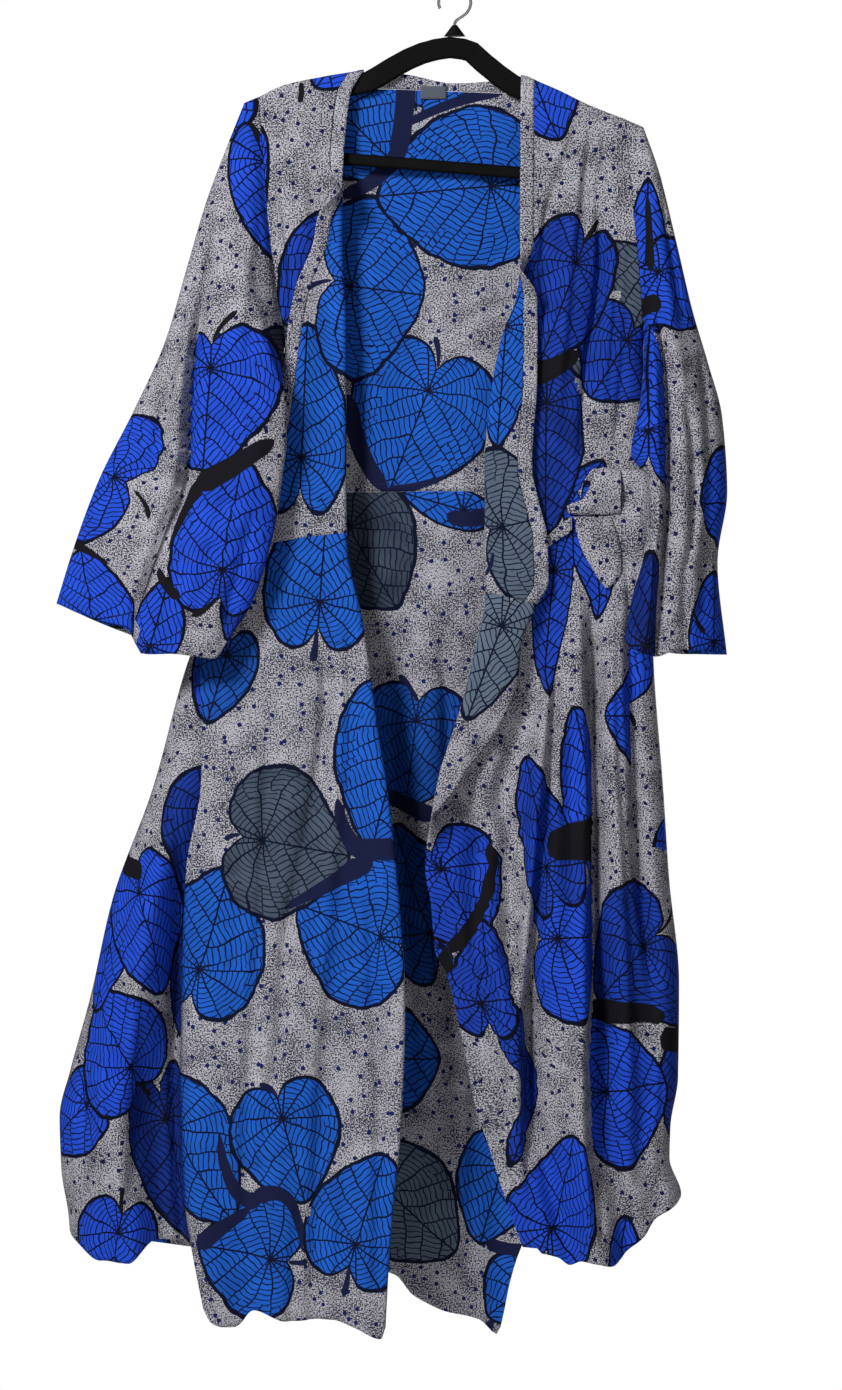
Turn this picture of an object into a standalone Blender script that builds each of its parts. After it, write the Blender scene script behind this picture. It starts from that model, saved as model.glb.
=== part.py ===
"""A wrap dress in printed cotton, hanging open-fronted on a flat hanger with a trouser bar.

+X is the viewer's right, +Y points away from the viewer and +Z is up. The origin is the
inside top of the hanger's hook. Lengths in the tables are millimetres, and "drop" is the
distance below the origin.
"""
import math
from collections import namedtuple

import bmesh
import bpy
import numpy as np

MM = 0.001

# Cloth
WALL = 2.0
SEAM = 0.3
HALF_SEAM = SEAM / 2
SHOULDER_BEND = 5.0
ROLL_RADIUS = 5.0
ROLL_LENGTH = math.pi * ROLL_RADIUS
BAND_WIDTH = 16.0
BAND_START = 1.85
SKIRT_ROWS = 15
SIDE_STEP = 0.001
SIDE_STEP_WIDTH = 0.3
ARMHOLE_STEP_WIDTH = 2.0
BAND_GAP = 0.6
WAIST_GAP = 0.5
SLEEVE_START = 3.0
SHOULDER_SLOPE = 0.42
SHOULDER_LEVEL = 100.0

# Hanger
ARM_HEIGHT = 24.0
HANGER_DEPTH = 7.0
HOOK_WIRE = 3.8
HOOK_INNER_RADIUS = 16.0

# Colours: linear red, green, blue
PRINT_BLUE = (0.035, 0.10, 0.62)
PRINT_GREY = (0.36, 0.35, 0.37)
BAND_GREY = (0.50, 0.49, 0.50)
HANGER_BLACK = (0.008, 0.008, 0.009)
HOOK_STEEL = (0.55, 0.55, 0.56)
LABEL_WHITE = (0.62, 0.62, 0.62)


def rows(names, *values):
    """A table with named columns, as a dictionary of arrays."""
    return {name: np.array(column, float) for name, column in zip(names.split(), zip(*values))}


def smooth(keys, values, at):
    """A curve through the rows of a table that never swings past them."""
    steps = np.diff(keys)
    slopes = np.diff(values) / steps
    tangents = np.empty(len(keys))
    tangents[0], tangents[-1] = slopes[0], slopes[-1]
    for i in range(1, len(keys) - 1):
        before, after = slopes[i - 1], slopes[i]
        tangents[i] = 0.0 if before * after <= 0 else 2 * before * after / (before + after)
    i = int(np.clip(np.searchsorted(keys, at) - 1, 0, len(keys) - 2))
    t = min(max((at - keys[i]) / steps[i], 0.0), 1.0)
    t2, t3 = t * t, t * t * t
    return float((2 * t3 - 3 * t2 + 1) * values[i] + (t3 - 2 * t2 + t) * steps[i] * tangents[i]
                 + (3 * t2 - 2 * t3) * values[i + 1] + (t3 - t2) * steps[i] * tangents[i + 1])


def look(table, column, at, key="drop"):
    return smooth(table[key], table[column], at)


def ease(t):
    t = min(max(t, 0.0), 1.0)
    return t * t * (3 - 2 * t)


def blend(a, b, t):
    return a + (b - a) * t


# The cloth's top over the hanger, and the free neck edge behind it
SHOULDER = rows(
    "x drop",
    (-217, 121), (-187, 108), (-137.5, 97), (-110, 92.6), (-100, 90.5), (0, 93.5),
    (74, 97), (99, 106.5), (115.5, 113.5), (148.5, 129.8), (190, 146.5))
NECK_LEFT, NECK_RIGHT = -100.0, 74.0
NECK_EDGE = rows(
    "x drop",
    (-100, 92.5), (-57, 94.5), (0, 104.5), (40, 102.5), (74, 98.5))
NECK_BAND_DEPTH = 23.0

# The armholes and, below the underarm, the side seams
UNDERARM = {-1: 399.0, 1: 394.0}
SIDE = {
    -1: rows(
        "drop x",
        (90, -218), (121, -217), (185, -212), (262, -206), (339, -197), (399, -188),
        (440, -197), (493, -212), (560, -228), (619, -243), (702, -275), (740, -293),
        (889, -335), (1010, -379), (1120, -404), (1200, -426), (1252, -438), (1310, -436),
        (1362, -428), (1420, -424)),
    1: rows(
        "drop x",
        (90, 189), (146.5, 190), (220, 195), (306, 203), (394, 209), (493, 213),
        (560, 216), (619, 217), (740, 220), (889, 231), (988, 237.6), (1103, 248.6),
        (1208, 247.5), (1263, 239), (1298, 238), (1338, 251), (1400, 250)),
}

# How far the cloth stands in front of and behind the side seams, and how round the sides are
BODY = rows(
    "drop front back side",
    (90, 12, 12, 20), (200, 14, 14, 20), (400, 16, 16, 22), (560, 17, 18, 28),
    (700, 25, 26, 40), (900, 38, 38, 55), (1100, 48, 46, 70), (1300, 56, 52, 85),
    (1510, 62, 58, 95))

# The front edges. "reach" is how far the cloth comes across the body, "flap" is the width
# that is turned back over it, and "turn" is 1 where it is turned right over.
LEFT_EDGE = rows(
    "drop reach flap turn",
    (90, -100, 18, 0), (119, -115.5, 18, 0), (163, -121, 18, 0), (190, -123, 18, 0.02),
    (225, -124, 19, 0.45), (262, -124, 24, 0.96), (284, -124, 27, 1), (333, -122, 48, 1),
    (383, -120, 60, 1), (460, -120, 70, 1), (537, -120, 84, 1), (614, -119, 104, 1),
    (702, -102, 158, 1), (740, -96, 180, 1), (812, -86, 187, 1), (889, -74, 200, 1),
    (977, -64, 226, 1), (1120, -55, 240, 1), (1180, -56, 240, 1), (1250, -59, 236, 1),
    (1345, -68, 222, 1), (1394, -72, 209, 1), (1466, -76, 190, 1))
RIGHT_EDGE = rows(
    "drop reach flap turn",
    (90, 74, 18, 0), (119, 73, 18, 0), (272, 72, 18, 0), (300, 72, 18, 0.22),
    (325, 71, 18, 0.6), (350, 67, 20, 0.93), (380, 55, 31, 1), (416, 46, 40, 1), (460, 38.5, 46, 1),
    (535, 33, 47, 1), (570, 33, 54, 1), (617, 33, 64, 1), (660, 34, 64, 1),
    (690, 33, 50, 1), (723, 25, 44, 1), (779, 12, 50, 1), (839, -7, 38, 1),
    (870, -17, 24, 0.97), (900, -23, 18, 0.7), (930, -28, 18, 0.25), (955, -32, 18, 0.02),
    (977, -33, 18, 0), (1010, -27, 18, 0), (1065, -22, 18, 0), (1094, -8, 18, 0),
    (1164, 8, 18, 0), (1237, 23, 18, 0), (1285, 39, 18, 0), (1318, 49, 18, 0),
    (1356, 62, 18, 0), (1400, 78, 18, 0))

# Waist seams and hems, by how far a column lies along each panel. The fronts run from
# 0 at the side seam over 1 at the roll to 2 at the free edge.
BACK_WAIST = rows("along drop", (0, 560), (0.5, 557), (1, 560))
LEFT_WAIST = rows("along drop", (0, 560), (0.5, 580), (1, 603), (1.5, 610), (2, 624))
RIGHT_WAIST = rows(
    "along drop",
    (0, 560), (0.22, 536), (0.34, 534), (0.45, 560), (0.6, 604), (0.8, 645), (1, 668),
    (1.25, 672), (2, 684))
BACK_HEM = rows(
    "along drop",
    (0, 1378), (0.1, 1395), (0.3, 1418), (0.5, 1434), (0.532, 1440), (0.56, 1461),
    (0.602, 1474), (0.672, 1489), (0.702, 1507), (0.709, 1494), (0.722, 1450),
    (0.736, 1417), (0.76, 1386), (0.85, 1372), (1, 1338))
LEFT_HEM = rows(
    "along drop",
    (0, 1378), (0.03, 1386), (0.11, 1402), (0.2, 1402), (0.28, 1380), (0.36, 1384),
    (0.5, 1402), (0.8, 1422), (1, 1436), (1.07, 1466), (1.17, 1473), (1.25, 1484),
    (1.34, 1473), (1.45, 1464), (1.6, 1466), (1.72, 1454), (1.8, 1472), (1.95, 1467),
    (2, 1452))
RIGHT_HEM = rows(
    "along drop",
    (0, 1338), (0.05, 1346), (0.2, 1360), (0.29, 1378), (0.44, 1395), (0.56, 1408),
    (0.68, 1404), (0.8, 1403), (0.9, 1409), (1, 1400), (2, 1389))

# A bodice's rows from the shoulder to the underarm, closest together where a front starts
# to turn over
BACK_ROWS = (0.06, 0.16, 0.3, 0.48, 0.66, 0.84, 0.93, 1)
FRONT_ROWS = {
    -1: (0.06, 0.16, 0.27, 0.36, 0.45, 0.54, 0.68, 0.84, 0.93, 1),
    1: (0.06, 0.16, 0.3, 0.44, 0.56, 0.65, 0.74, 0.84, 0.93, 1),
}

# Folds: soft troughs (positive depth) and ridges (negative) that run down a panel from their
# top to their foot. "top" and "foot" are places across the panel: 0 at its left or outer side
# seam, 1 at the back's right side seam or a front's roll. Width is half the distance across.
Fold = namedtuple("Fold", "top top_drop foot foot_drop width depth")
BACK_FOLDS = (
    Fold(0.42, 575, 0.53, 1520, 20, 10), Fold(0.5, 600, 0.62, 1520, 20, -12),
    Fold(0.2, 620, 0.24, 1520, 30, 14), Fold(0.8, 600, 0.82, 1520, 26, 13),
    Fold(0.09, 700, 0.11, 1520, 28, -11), Fold(0.34, 330, 0.36, 640, 26, 6),
    Fold(0.66, 260, 0.64, 640, 26, 6), Fold(0.36, 760, 0.4, 1520, 24, -9),
    Fold(0.68, 640, 0.71, 1520, 24, 11), Fold(0.91, 700, 0.92, 1520, 26, -10))
LEFT_FOLDS = (
    Fold(0.13, 840, 0.21, 1400, 21, -22), Fold(0.225, 840, 0.32, 1400, 20, 16),
    Fold(0.06, 980, 0.06, 1420, 18, -8), Fold(0.75, 200, 0.77, 600, 18, 6),
    Fold(0.74, 640, 0.78, 1500, 30, 9), Fold(0.44, 700, 0.56, 1500, 26, 8),
    Fold(1.0, 700, 0.95, 1500, 18, -7))
LEFT_FLAP_FOLDS = (
    Fold(0.65, 640, 0.68, 1500, 24, -4), Fold(0.36, 700, 0.5, 1500, 22, -5))
RIGHT_FOLDS = (
    Fold(0.5, 150, 0.62, 340, 14, 6), Fold(0.3, 170, 0.38, 500, 18, 9),
    Fold(0.8, 180, 0.8, 420, 14, 5), Fold(0.6, 600, 0.93, 1420, 17, 24),
    Fold(0.335, 560, 0.46, 1420, 16, 20), Fold(0.45, 620, 0.66, 1420, 16, -11),
    Fold(0.78, 740, 1.1, 1330, 15, 14), Fold(0.16, 640, 0.2, 1420, 20, 11),
    Fold(0.84, 950, 0.98, 1420, 14, -9), Fold(0.06, 860, 0.08, 1380, 16, -7))

# Sleeves: rings between an outer and an inner point. "front" is how far each point lies in
# front of the side seams, and "half" is half the ring's depth.
LEFT_SLEEVE = rows(
    "outer_x outer_drop outer_front inner_x inner_drop inner_front half",
    (-233, 128, 2, -199, 409, 10, 17), (-254, 182, 6, -194, 438, 34, 18),
    (-275, 240, 10, -184, 466, 56, 22), (-297, 317, 16, -184, 505, 58, 22),
    (-319, 394, 22, -189, 545, 56, 22), (-353, 471, 28, -194, 585, 60, 22),
    (-391, 548, 34, -204, 630, 64, 22), (-418, 622, 38, -222, 684, 66, 22),
    (-437, 684, 40, -247, 722, 68, 21))
RIGHT_SLEEVE = rows(
    "outer_x outer_drop outer_front inner_x inner_drop inner_front half",
    (209, 155, 2, 217, 404, 10, 15), (226, 205, 6, 214, 430, 26, 18),
    (245, 285, 12, 202, 470, 44, 24), (262, 360, 18, 192, 520, 60, 30),
    (279, 420, 24, 212, 552, 62, 31), (294, 480, 28, 211, 592, 66, 31),
    (299, 560, 32, 205, 634, 70, 30), (288, 640, 36, 192, 680, 72, 28),
    (298, 735, 38, 184, 722, 74, 26))
Groove = namedtuple("Groove", "centre width depth")
SLEEVE_GROOVES = {
    -1: (Groove(0.50, 0.07, 15), Groove(0.80, 0.08, -4)),
    1: (Groove(0.66, 0.09, 16), Groove(0.30, 0.10, -5)),
}

# How much lower than the last ring each sleeve's hem hangs, from its outer to its inner edge
LEFT_CUFF = rows(
    "part front back",
    (0, 0, 0), (0.25, 10, 12), (0.42, 12, 18), (0.5, 36, 20), (0.71, 29, 18), (0.92, 26, 10),
    (1, 2, 2))
RIGHT_CUFF = rows(
    "part front back",
    (0, 5, 5), (0.28, 5, 8), (0.48, 6, 10), (0.72, 17, 8), (0.95, 11, 4), (1, 2, 2))

# The tie's pieces: strips between two edges
TIE_KNOT = rows(
    "x top foot",
    (124, 575.5, 583), (130, 573, 585), (140, 569, 586), (148, 556, 587), (156, 536, 587),
    (168, 533, 586), (183, 537, 584))
TIE_SHORT_TAIL = rows(
    "drop left right",
    (587.6, 131, 173), (598, 133, 176), (608, 135, 179), (628, 142, 184), (647, 153, 184),
    (660, 161, 177), (666, 165, 169))
TIE_LONG_TAIL = rows(
    "drop left right",
    (537, 183.8, 224), (560, 183.8, 228), (592, 184.5, 226), (615, 186, 221), (638, 187, 215),
    (659, 189, 208), (676, 191, 200), (686, 192, 196))
TIE_BAND = rows("x top foot", (95, 612, 625), (104, 607, 620), (114, 598, 613), (129, 586.5, 604))
TIE_REST = 6.0
TIE_LIFT = WALL + 2 * SEAM
TIE_FROM_SEAM = 26.0

# The blank label inside the back of the neck
LABEL_X = (-38.0, -9.0)
LABEL_DROPS = (108.0, 114.0, 122.0)
LABEL_WALL = 1.0
LABEL_LIFT = 2.0

# The hanger: its arms' top edge, their turned-down tips, and the bar between the tips
ARM_TOP = rows(
    "x drop",
    (-192, 112), (-187, 110), (-137.5, 99), (-110, 94.6), (-98, 92.5), (-91, 88),
    (-57, 68.2), (-30, 58), (-5.5, 53.9), (20, 58), (40, 74), (70, 97), (74, 99), (99, 108.6),
    (115.5, 115.6), (148.5, 131.9), (168, 140))
ARM_X = (-178, -157, -137, -118, -109, -99, -91, -75, -57, -40, -24, -5.5, 12, 26, 40, 56,
         71, 86, 99, 116, 132, 150)
ARM_LEFT_TIP = ((-205, 175.3, 13), (-205, 163, 14), (-204, 152, 16), (-200, 140, 19), (-192, 129, 22))
ARM_RIGHT_TIP = ((167, 153, 22), (175, 163, 19), (179, 175, 16), (181, 190, 14), (181, 205.9, 13))
BAR = ((-212.0, 182.2), (188.0, 214.2))
BAR_HEIGHTS = ((0, 10.5), (0.006, 13.5), (0.5, 13.5), (0.994, 13.5), (1, 10.5))
NECK_DROP = 53.5
NECK_HEIGHT = 12.0
NECK_BASE = 24.0
NECK_TOP = 6.0
HOOK_SHANK = ((0, 41.2), (0.2, 39.2), (1.2, 37.1), (3, 35.3), (5.5, 33.6))


def body_depth(column, drop, inward, closed):
    """Distance from the plane of the side seams, "inward" from a side. It is full at an
    armhole's edge, and the two faces close on each other below the underarm."""
    full = look(BODY, column, drop)
    radius = look(BODY, "side", drop)
    missing = 1 - min(max(inward, 0.0) / radius, 1.0)
    return full * blend(1.0, math.sqrt(max(1 - missing * missing, 0.0)), closed)


def armhole_closing(side, drop):
    """0 at an armhole, turning to 1 where the side seam starts."""
    t = (drop - (UNDERARM[side] - 40)) / 40
    return 1 - math.sqrt(1 - t * t) if 0 < t < 1 else float(t >= 1)


def seam_gap(side, drop):
    """Half the gap between front and back, wider where the walls bend at the underarm."""
    return HALF_SEAM + 1.3 * math.exp(-((drop - UNDERARM[side]) / 14) ** 2)


def side_step(side, drop):
    """Width of the first strip along a panel's side, which lies square to its edge."""
    return blend(ARMHOLE_STEP_WIDTH, SIDE_STEP_WIDTH, armhole_closing(side, drop))


def fold_depth(folds, place, drop, panel):
    """Depth of the folds at a place across a panel that is "panel" wide there."""
    total = 0.0
    for fold in folds:
        t = (drop - fold.top_drop) / (fold.foot_drop - fold.top_drop)
        if t <= 0:
            continue
        across = (place - blend(fold.top, fold.foot, min(t, 1.0))) * panel / fold.width
        fade = ease(t * 3) * (1 if fold.foot_drop > 1300 else 1 - ease((t - 0.7) / 0.3))
        total += fold.depth * fade * math.exp(-across * across)
    return total


def over_shoulder(down):
    """Height lost and distance out from the hanger's centre after going "down" the cloth
    from the shoulder seam."""
    bend = SHOULDER_BEND * math.pi / 2
    if down < bend:
        angle = down / SHOULDER_BEND
        return SHOULDER_BEND * (1 - math.cos(angle)), SHOULDER_BEND * math.sin(angle)
    return SHOULDER_BEND + down - bend, SHOULDER_BEND


def row_downs(top, underarm, waist, parts):
    """Distances down the cloth for a bodice's rows, the last of "parts" at the underarm."""
    bend = SHOULDER_BEND * math.pi / 2
    upper = [bend + (underarm - top - SHOULDER_BEND) * part for part in parts]
    lower = [upper[-1] + (waist - underarm) * t for t in (0.25, 0.5, 0.75, 1)]
    return [SEAM, bend * 0.2, bend * 0.55, bend] + upper + lower


def grid_mesh(points):
    """A grid whose vertices are moved to the points, given as rows from the top."""
    across, down = len(points[0]), len(points)
    mesh = bmesh.new()
    bmesh.ops.create_grid(mesh, x_segments=across - 1, y_segments=down - 1, size=1)
    mesh.verts.ensure_lookup_table()
    order = sorted(mesh.verts, key=lambda v: (round(-v.co.y, 3), v.co.x))
    for number, vertex in enumerate(order):
        vertex.co = [value * MM for value in points[number // across][number % across]]
    return mesh


def grid_object(name, points, colour, keep=None, thickness=WALL):
    """An open sheet from a grid of points, given its thickness by a Solidify modifier."""
    mesh = grid_mesh(points)
    if keep:
        rows_down = len(points) - 1
        faces = sorted(mesh.faces, key=lambda face: face.index)
        across = len(points[0]) - 1
        dropped = [face for number, face in enumerate(faces)
                   if not keep(rows_down - 1 - number // across, number % across)]
        bmesh.ops.delete(mesh, geom=dropped, context="FACES")
    return sheet_object(name, mesh, colour, thickness)


def tube_object(name, rings, colour, thickness=WALL):
    """An open tube through rings of points."""
    mesh = grid_mesh([list(ring) + [ring[0]] for ring in rings])
    bmesh.ops.remove_doubles(mesh, verts=mesh.verts, dist=0.00002)
    return sheet_object(name, mesh, colour, thickness)


def sheet_object(name, mesh, colour, thickness):
    piece = mesh_object(name, mesh, colour, 0.8)
    wall = piece.modifiers.new("Wall", "SOLIDIFY")
    wall.thickness = thickness * MM
    wall.offset = 0
    wall.use_quality_normals = True
    return piece


def mesh_object(name, mesh, colour, roughness, metallic=0.0):
    bmesh.ops.recalc_face_normals(mesh, faces=mesh.faces)
    data = bpy.data.meshes.new(name)
    mesh.to_mesh(data)
    mesh.free()
    data.shade_smooth()
    piece = bpy.data.objects.new(name, data)
    data.materials.append(material(name, colour, roughness, metallic))
    collection.objects.link(piece)
    return piece


def material(name, colour, roughness, metallic):
    finish = bpy.data.materials.new(name + "_finish")
    finish.use_nodes = True
    shader = finish.node_tree.nodes["Principled BSDF"]
    shader.inputs["Base Color"].default_value = (*colour, 1)
    shader.inputs["Roughness"].default_value = roughness
    shader.inputs["Metallic"].default_value = metallic
    return finish


def front_point(side, edge, folds, flap_folds, along, drop):
    """A point of a front. "along" is 0 at the side, 1 where the roll starts, 1.25 where it
    ends, BAND_START where the band is sewn on and 2 at the free edge."""
    flap = look(edge, "flap", drop)
    angle = max(look(edge, "turn", drop), 0.001) * math.pi
    curve = angle / ROLL_LENGTH
    if angle < math.pi / 2:
        extent = math.sin(angle) / curve + flap * math.cos(angle)
    else:
        extent = 1 / curve
    seam_x = look(SIDE[side], "x", drop)
    inward = -side
    closed = armhole_closing(side, drop)
    roll_x = look(edge, "reach", drop) - inward * extent
    forward = 0.0
    if along == SIDE_STEP:
        x = seam_x + inward * side_step(side, drop)
    elif along <= 1:
        x = blend(seam_x, roll_x, along)
    else:
        cloth = ROLL_LENGTH * min((along - 1) / 0.25, 1)
        band = min(BAND_WIDTH, flap * 0.85)
        if along <= BAND_START:
            beyond = (flap - band) * max((along - 1.25) / (BAND_START - 1.25), 0)
        else:
            gap = BAND_GAP * (1 + 2 * math.sin(angle))
            beyond = flap - (band - gap) * (2 - along) / (2 - BAND_START - 0.001)
        swung = curve * cloth
        x = roll_x + inward * (math.sin(swung) / curve + beyond * math.cos(swung))
        forward = (1 - math.cos(swung)) / curve + beyond * math.sin(swung)
    base_x = roll_x if (x - roll_x) * inward > 0 else x
    from_seam = abs(base_x - seam_x)
    depth = body_depth("front", drop, 0 if along == SIDE_STEP and closed < 1 else from_seam, closed)
    depth = max(depth, seam_gap(side, drop))
    panel = abs(roll_x - seam_x)
    y = fold_depth(folds, from_seam / panel, drop, panel) * min(from_seam / 30, 1) - depth - forward
    if along > 1:
        y += fold_depth(flap_folds, abs(x - seam_x) / panel, drop, panel) * ease((along - 1) / 0.4)
    return x, y, -drop


def bodice_point(side, edge, folds, along, top_x, down):
    """A point of a front bodice, "down" the cloth from the shoulder seam."""
    lost, out = over_shoulder(down)
    drop = look(SHOULDER, "drop", top_x, key="x") + lost
    x, y, z = front_point(side, edge, folds, (), along, drop)
    settle = 1 - math.exp(-max(down - SHOULDER_BEND * math.pi / 2, 0) / 50)
    return x, -out + (y + SHOULDER_BEND) * settle, z


def columns(outer, roll, flap):
    """Positions across a front: closer together near the side, and even over the flap."""
    first = [blend(i / outer, (i / outer) ** 2, 0.35) for i in range(outer)]
    first = [0, SIDE_STEP] + first[1:] + [1]
    return (first + [1 + 0.25 * (i + 1) / roll for i in range(roll)]
            + [1.25 + (BAND_START - 1.25) * (i + 1) / flap for i in range(flap)])


def make_front(side, name, edge, folds, flap_folds, waist, hem, outer, thinned, flap):
    """A front's bodice, skirt and band. The skirt has twice the bodice's flap columns, and
    "thinned" times the columns between the side and the roll."""
    bodice_columns = columns(outer // thinned, 4, flap)
    skirt_columns = columns(outer, 4, flap * 2) + [blend(BAND_START, 2, 0.5), 2]

    def bodice_column(along):
        shoulder_x = front_point(side, edge, (), (), along, SHOULDER_LEVEL)[0]
        top = look(SHOULDER, "drop", shoulder_x, key="x")
        seam = look(waist, "drop", along, key="along") - WAIST_GAP / 2
        downs = row_downs(top, UNDERARM[side], seam, FRONT_ROWS[side])
        return [bodice_point(side, edge, folds, along, shoulder_x, down) for down in downs]

    bodice = [bodice_column(along) for along in bodice_columns]
    grid_object(name + "_front_bodice", list(zip(*bodice)), PRINT_GREY)

    skirt = []
    for along in skirt_columns:
        top = look(waist, "drop", along, key="along") + WAIST_GAP / 2
        foot = look(hem, "drop", along, key="along")
        drops = [blend(top, foot, i / SKIRT_ROWS) for i in range(SKIRT_ROWS + 1)]
        skirt.append([front_point(side, edge, folds, flap_folds, along, drop) for drop in drops])
    grid_object(name + "_front_skirt", list(zip(*skirt)), PRINT_BLUE)

    band = [bodice_column(along) for along in (BAND_START + 0.001, blend(BAND_START, 2, 0.5), 2)]
    grid_object(name + "_front_band", list(zip(*band)), BAND_GREY)


def back_x(part, drop):
    """Across the back: 0 at the left side seam to 1 at the right."""
    left, right = look(SIDE[-1], "x", drop), look(SIDE[1], "x", drop)
    if part == SIDE_STEP:
        return left + side_step(-1, drop)
    if part == 1 - SIDE_STEP:
        return right - side_step(1, drop)
    return blend(left, right, part)


def back_point(x, drop, down=None):
    left, right = look(SIDE[-1], "x", drop), look(SIDE[1], "x", drop)
    side, inward = (-1, x - left) if x - left < right - x else (1, right - x)
    closed = armhole_closing(side, drop)
    edge_strip = closed < 1 and inward < side_step(side, drop) + 0.01
    depth = body_depth("back", drop, 0 if edge_strip else inward, closed)
    depth = max(depth, seam_gap(side, drop))
    panel = right - left
    y = depth + fold_depth(BACK_FOLDS, (x - left) / panel, drop, panel) * min(inward / 30, 1)
    if down is not None:
        out = over_shoulder(down)[1]
        settle = 1 - math.exp(-max(down - SHOULDER_BEND * math.pi / 2, 0) / 50)
        y = out + (y - SHOULDER_BEND) * settle
    return x, y, -drop


def back_top_columns():
    left = look(SIDE[-1], "x", 121)
    right = look(SIDE[1], "x", 146)
    shoulder_left = [left, left + ARMHOLE_STEP_WIDTH, -207, -196, -182, -165, -148, -130, -114]
    shoulder_right = [88, 104, 122, 140, 156, 170, 180, right - ARMHOLE_STEP_WIDTH, right]
    neck = [NECK_LEFT, -88, -70, -50, -28, -6, 16, 36, 54, 66, NECK_RIGHT]
    return shoulder_left + neck + shoulder_right


def make_back():
    tops = back_top_columns()
    left, right = tops[0], tops[-1]
    bodice, skirt = [], []
    for number, top_x in enumerate(tops):
        part = (top_x - left) / (right - left)
        part = SIDE_STEP if number == 1 else 1 - SIDE_STEP if number == len(tops) - 2 else part
        side = -1 if part < 0.5 else 1
        top = look(SHOULDER, "drop", top_x, key="x")
        under = blend(UNDERARM[-1], UNDERARM[1], ease((part - 0.3) / 0.4))
        waist = look(BACK_WAIST, "drop", part, key="along")
        downs = row_downs(top, under, waist - WAIST_GAP / 2, BACK_ROWS)
        downs = downs[:4] + [NECK_BAND_DEPTH] + downs[5:]
        column = []
        for down in downs:
            drop = top + over_shoulder(down)[0]
            x = back_x(part, drop)
            column.append(back_point(x, drop, down))
        bodice.append(column)
        hem = look(BACK_HEM, "drop", part, key="along")
        column = []
        for i in range(SKIRT_ROWS + 1):
            drop = blend(waist + WAIST_GAP / 2, hem, i / SKIRT_ROWS)
            x = back_x(part, drop)
            column.append(back_point(x, drop))
        skirt.append(column)
    first, last = tops.index(NECK_LEFT), tops.index(NECK_RIGHT)
    grid_object("back_bodice", list(zip(*bodice)), PRINT_GREY,
                keep=lambda row, column: row >= 4 or not first <= column < last)
    grid_object("back_skirt", list(zip(*skirt)), PRINT_BLUE)

    band = []
    for top_x in [NECK_LEFT + SEAM + WALL / 2] + tops[first + 1:last] + [NECK_RIGHT - SEAM - WALL / 2]:
        part = (top_x - left) / (right - left)
        top = look(SHOULDER, "drop", top_x, key="x")
        upper = look(NECK_EDGE, "drop", top_x, key="x")
        lower = top + over_shoulder(NECK_BAND_DEPTH)[0] - SEAM
        column = []
        for t in (0, 0.5, 1):
            drop = blend(upper, lower, t)
            down = SHOULDER_BEND * math.pi / 2 + max(drop - top - SHOULDER_BEND, 0)
            x = back_x(part, drop)
            column.append(back_point(x, drop, down))
        band.append(column)
    grid_object("back_neck_band", list(zip(*band)), BAND_GREY)


def armhole_ring(side):
    """The armhole's loop, down the front and up the back, moved out by the seam. Each point
    comes with its place, 0 at the shoulder to 1 at the underarm."""
    corner = look(SIDE[side], "x", 121 if side < 0 else 146)
    top = look(SHOULDER, "drop", corner, key="x")
    height = UNDERARM[side] - top

    def out(drop):
        return side * (SEAM + 1.2 * math.exp(-((drop - UNDERARM[side]) / 20) ** 2))

    def half(parts, sign):
        downs = row_downs(top, UNDERARM[side], UNDERARM[side] + 1, parts)[1:4 + len(parts) - 1]
        points = []
        for down in downs:
            drop = top + over_shoulder(down)[0]
            x = look(SIDE[side], "x", drop)
            if sign > 0:
                y = back_point(x, drop, down)[1]
            else:
                edge, folds = (LEFT_EDGE, LEFT_FOLDS) if side < 0 else (RIGHT_EDGE, RIGHT_FOLDS)
                y = bodice_point(side, edge, folds, 0, corner, down)[1]
            points.append(((x + out(drop), y, -drop), (drop - top) / height, sign))
        return points

    under = UNDERARM[side]
    under_x = look(SIDE[side], "x", under) + out(under)
    return ([((corner + out(top), 0, -top), 0.0, -1)] + half(FRONT_ROWS[side], -1)
            + [((under_x, 0, -under), 1.0, -1)] + half(BACK_ROWS, 1)[::-1])


def make_sleeve(side, name, table, cuff):
    start = armhole_ring(side)
    rings = [[point for point, part, sign in start],
             [(x + side * SLEEVE_START, y, z - SHOULDER_SLOPE * SLEEVE_START * (1 - part))
              for (x, y, z), part, sign in start]]
    last = len(table["half"]) - 1
    for number in range(last + 1):
        here = {key: values[number] for key, values in table.items()}
        ring = []
        for point, part, sign in start:
            x = blend(here["outer_x"], here["inner_x"], part)
            drop = blend(here["outer_drop"], here["inner_drop"], part)
            bulge = here["half"] * math.sqrt(max(1 - (2 * part - 1) ** 2, 0))
            y = sign * bulge - blend(here["outer_front"], here["inner_front"], part)
            if sign < 0:
                grown = ease(number / 3)
                for groove in SLEEVE_GROOVES[side]:
                    y += grown * groove.depth * math.exp(-((part - groove.centre) / groove.width) ** 2)
            if number == last:
                drop += look(cuff, "front" if sign < 0 else "back", part, key="part")
            ring.append((x, y, -drop))
        rings.append(ring)
    tube_object(name, rings, PRINT_GREY)


def right_front_depth(x, drop):
    """Where the right front's cloth stands at x. Near the side seam it is where the cloth
    starts to curve back."""
    seam_x = look(SIDE[1], "x", drop)
    roll_x = front_point(1, RIGHT_EDGE, (), (), 1, drop)[0]
    along = (seam_x - min(x, seam_x - TIE_FROM_SEAM)) / (seam_x - roll_x)
    return front_point(1, RIGHT_EDGE, RIGHT_FOLDS, (), along, drop)[1]


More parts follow.
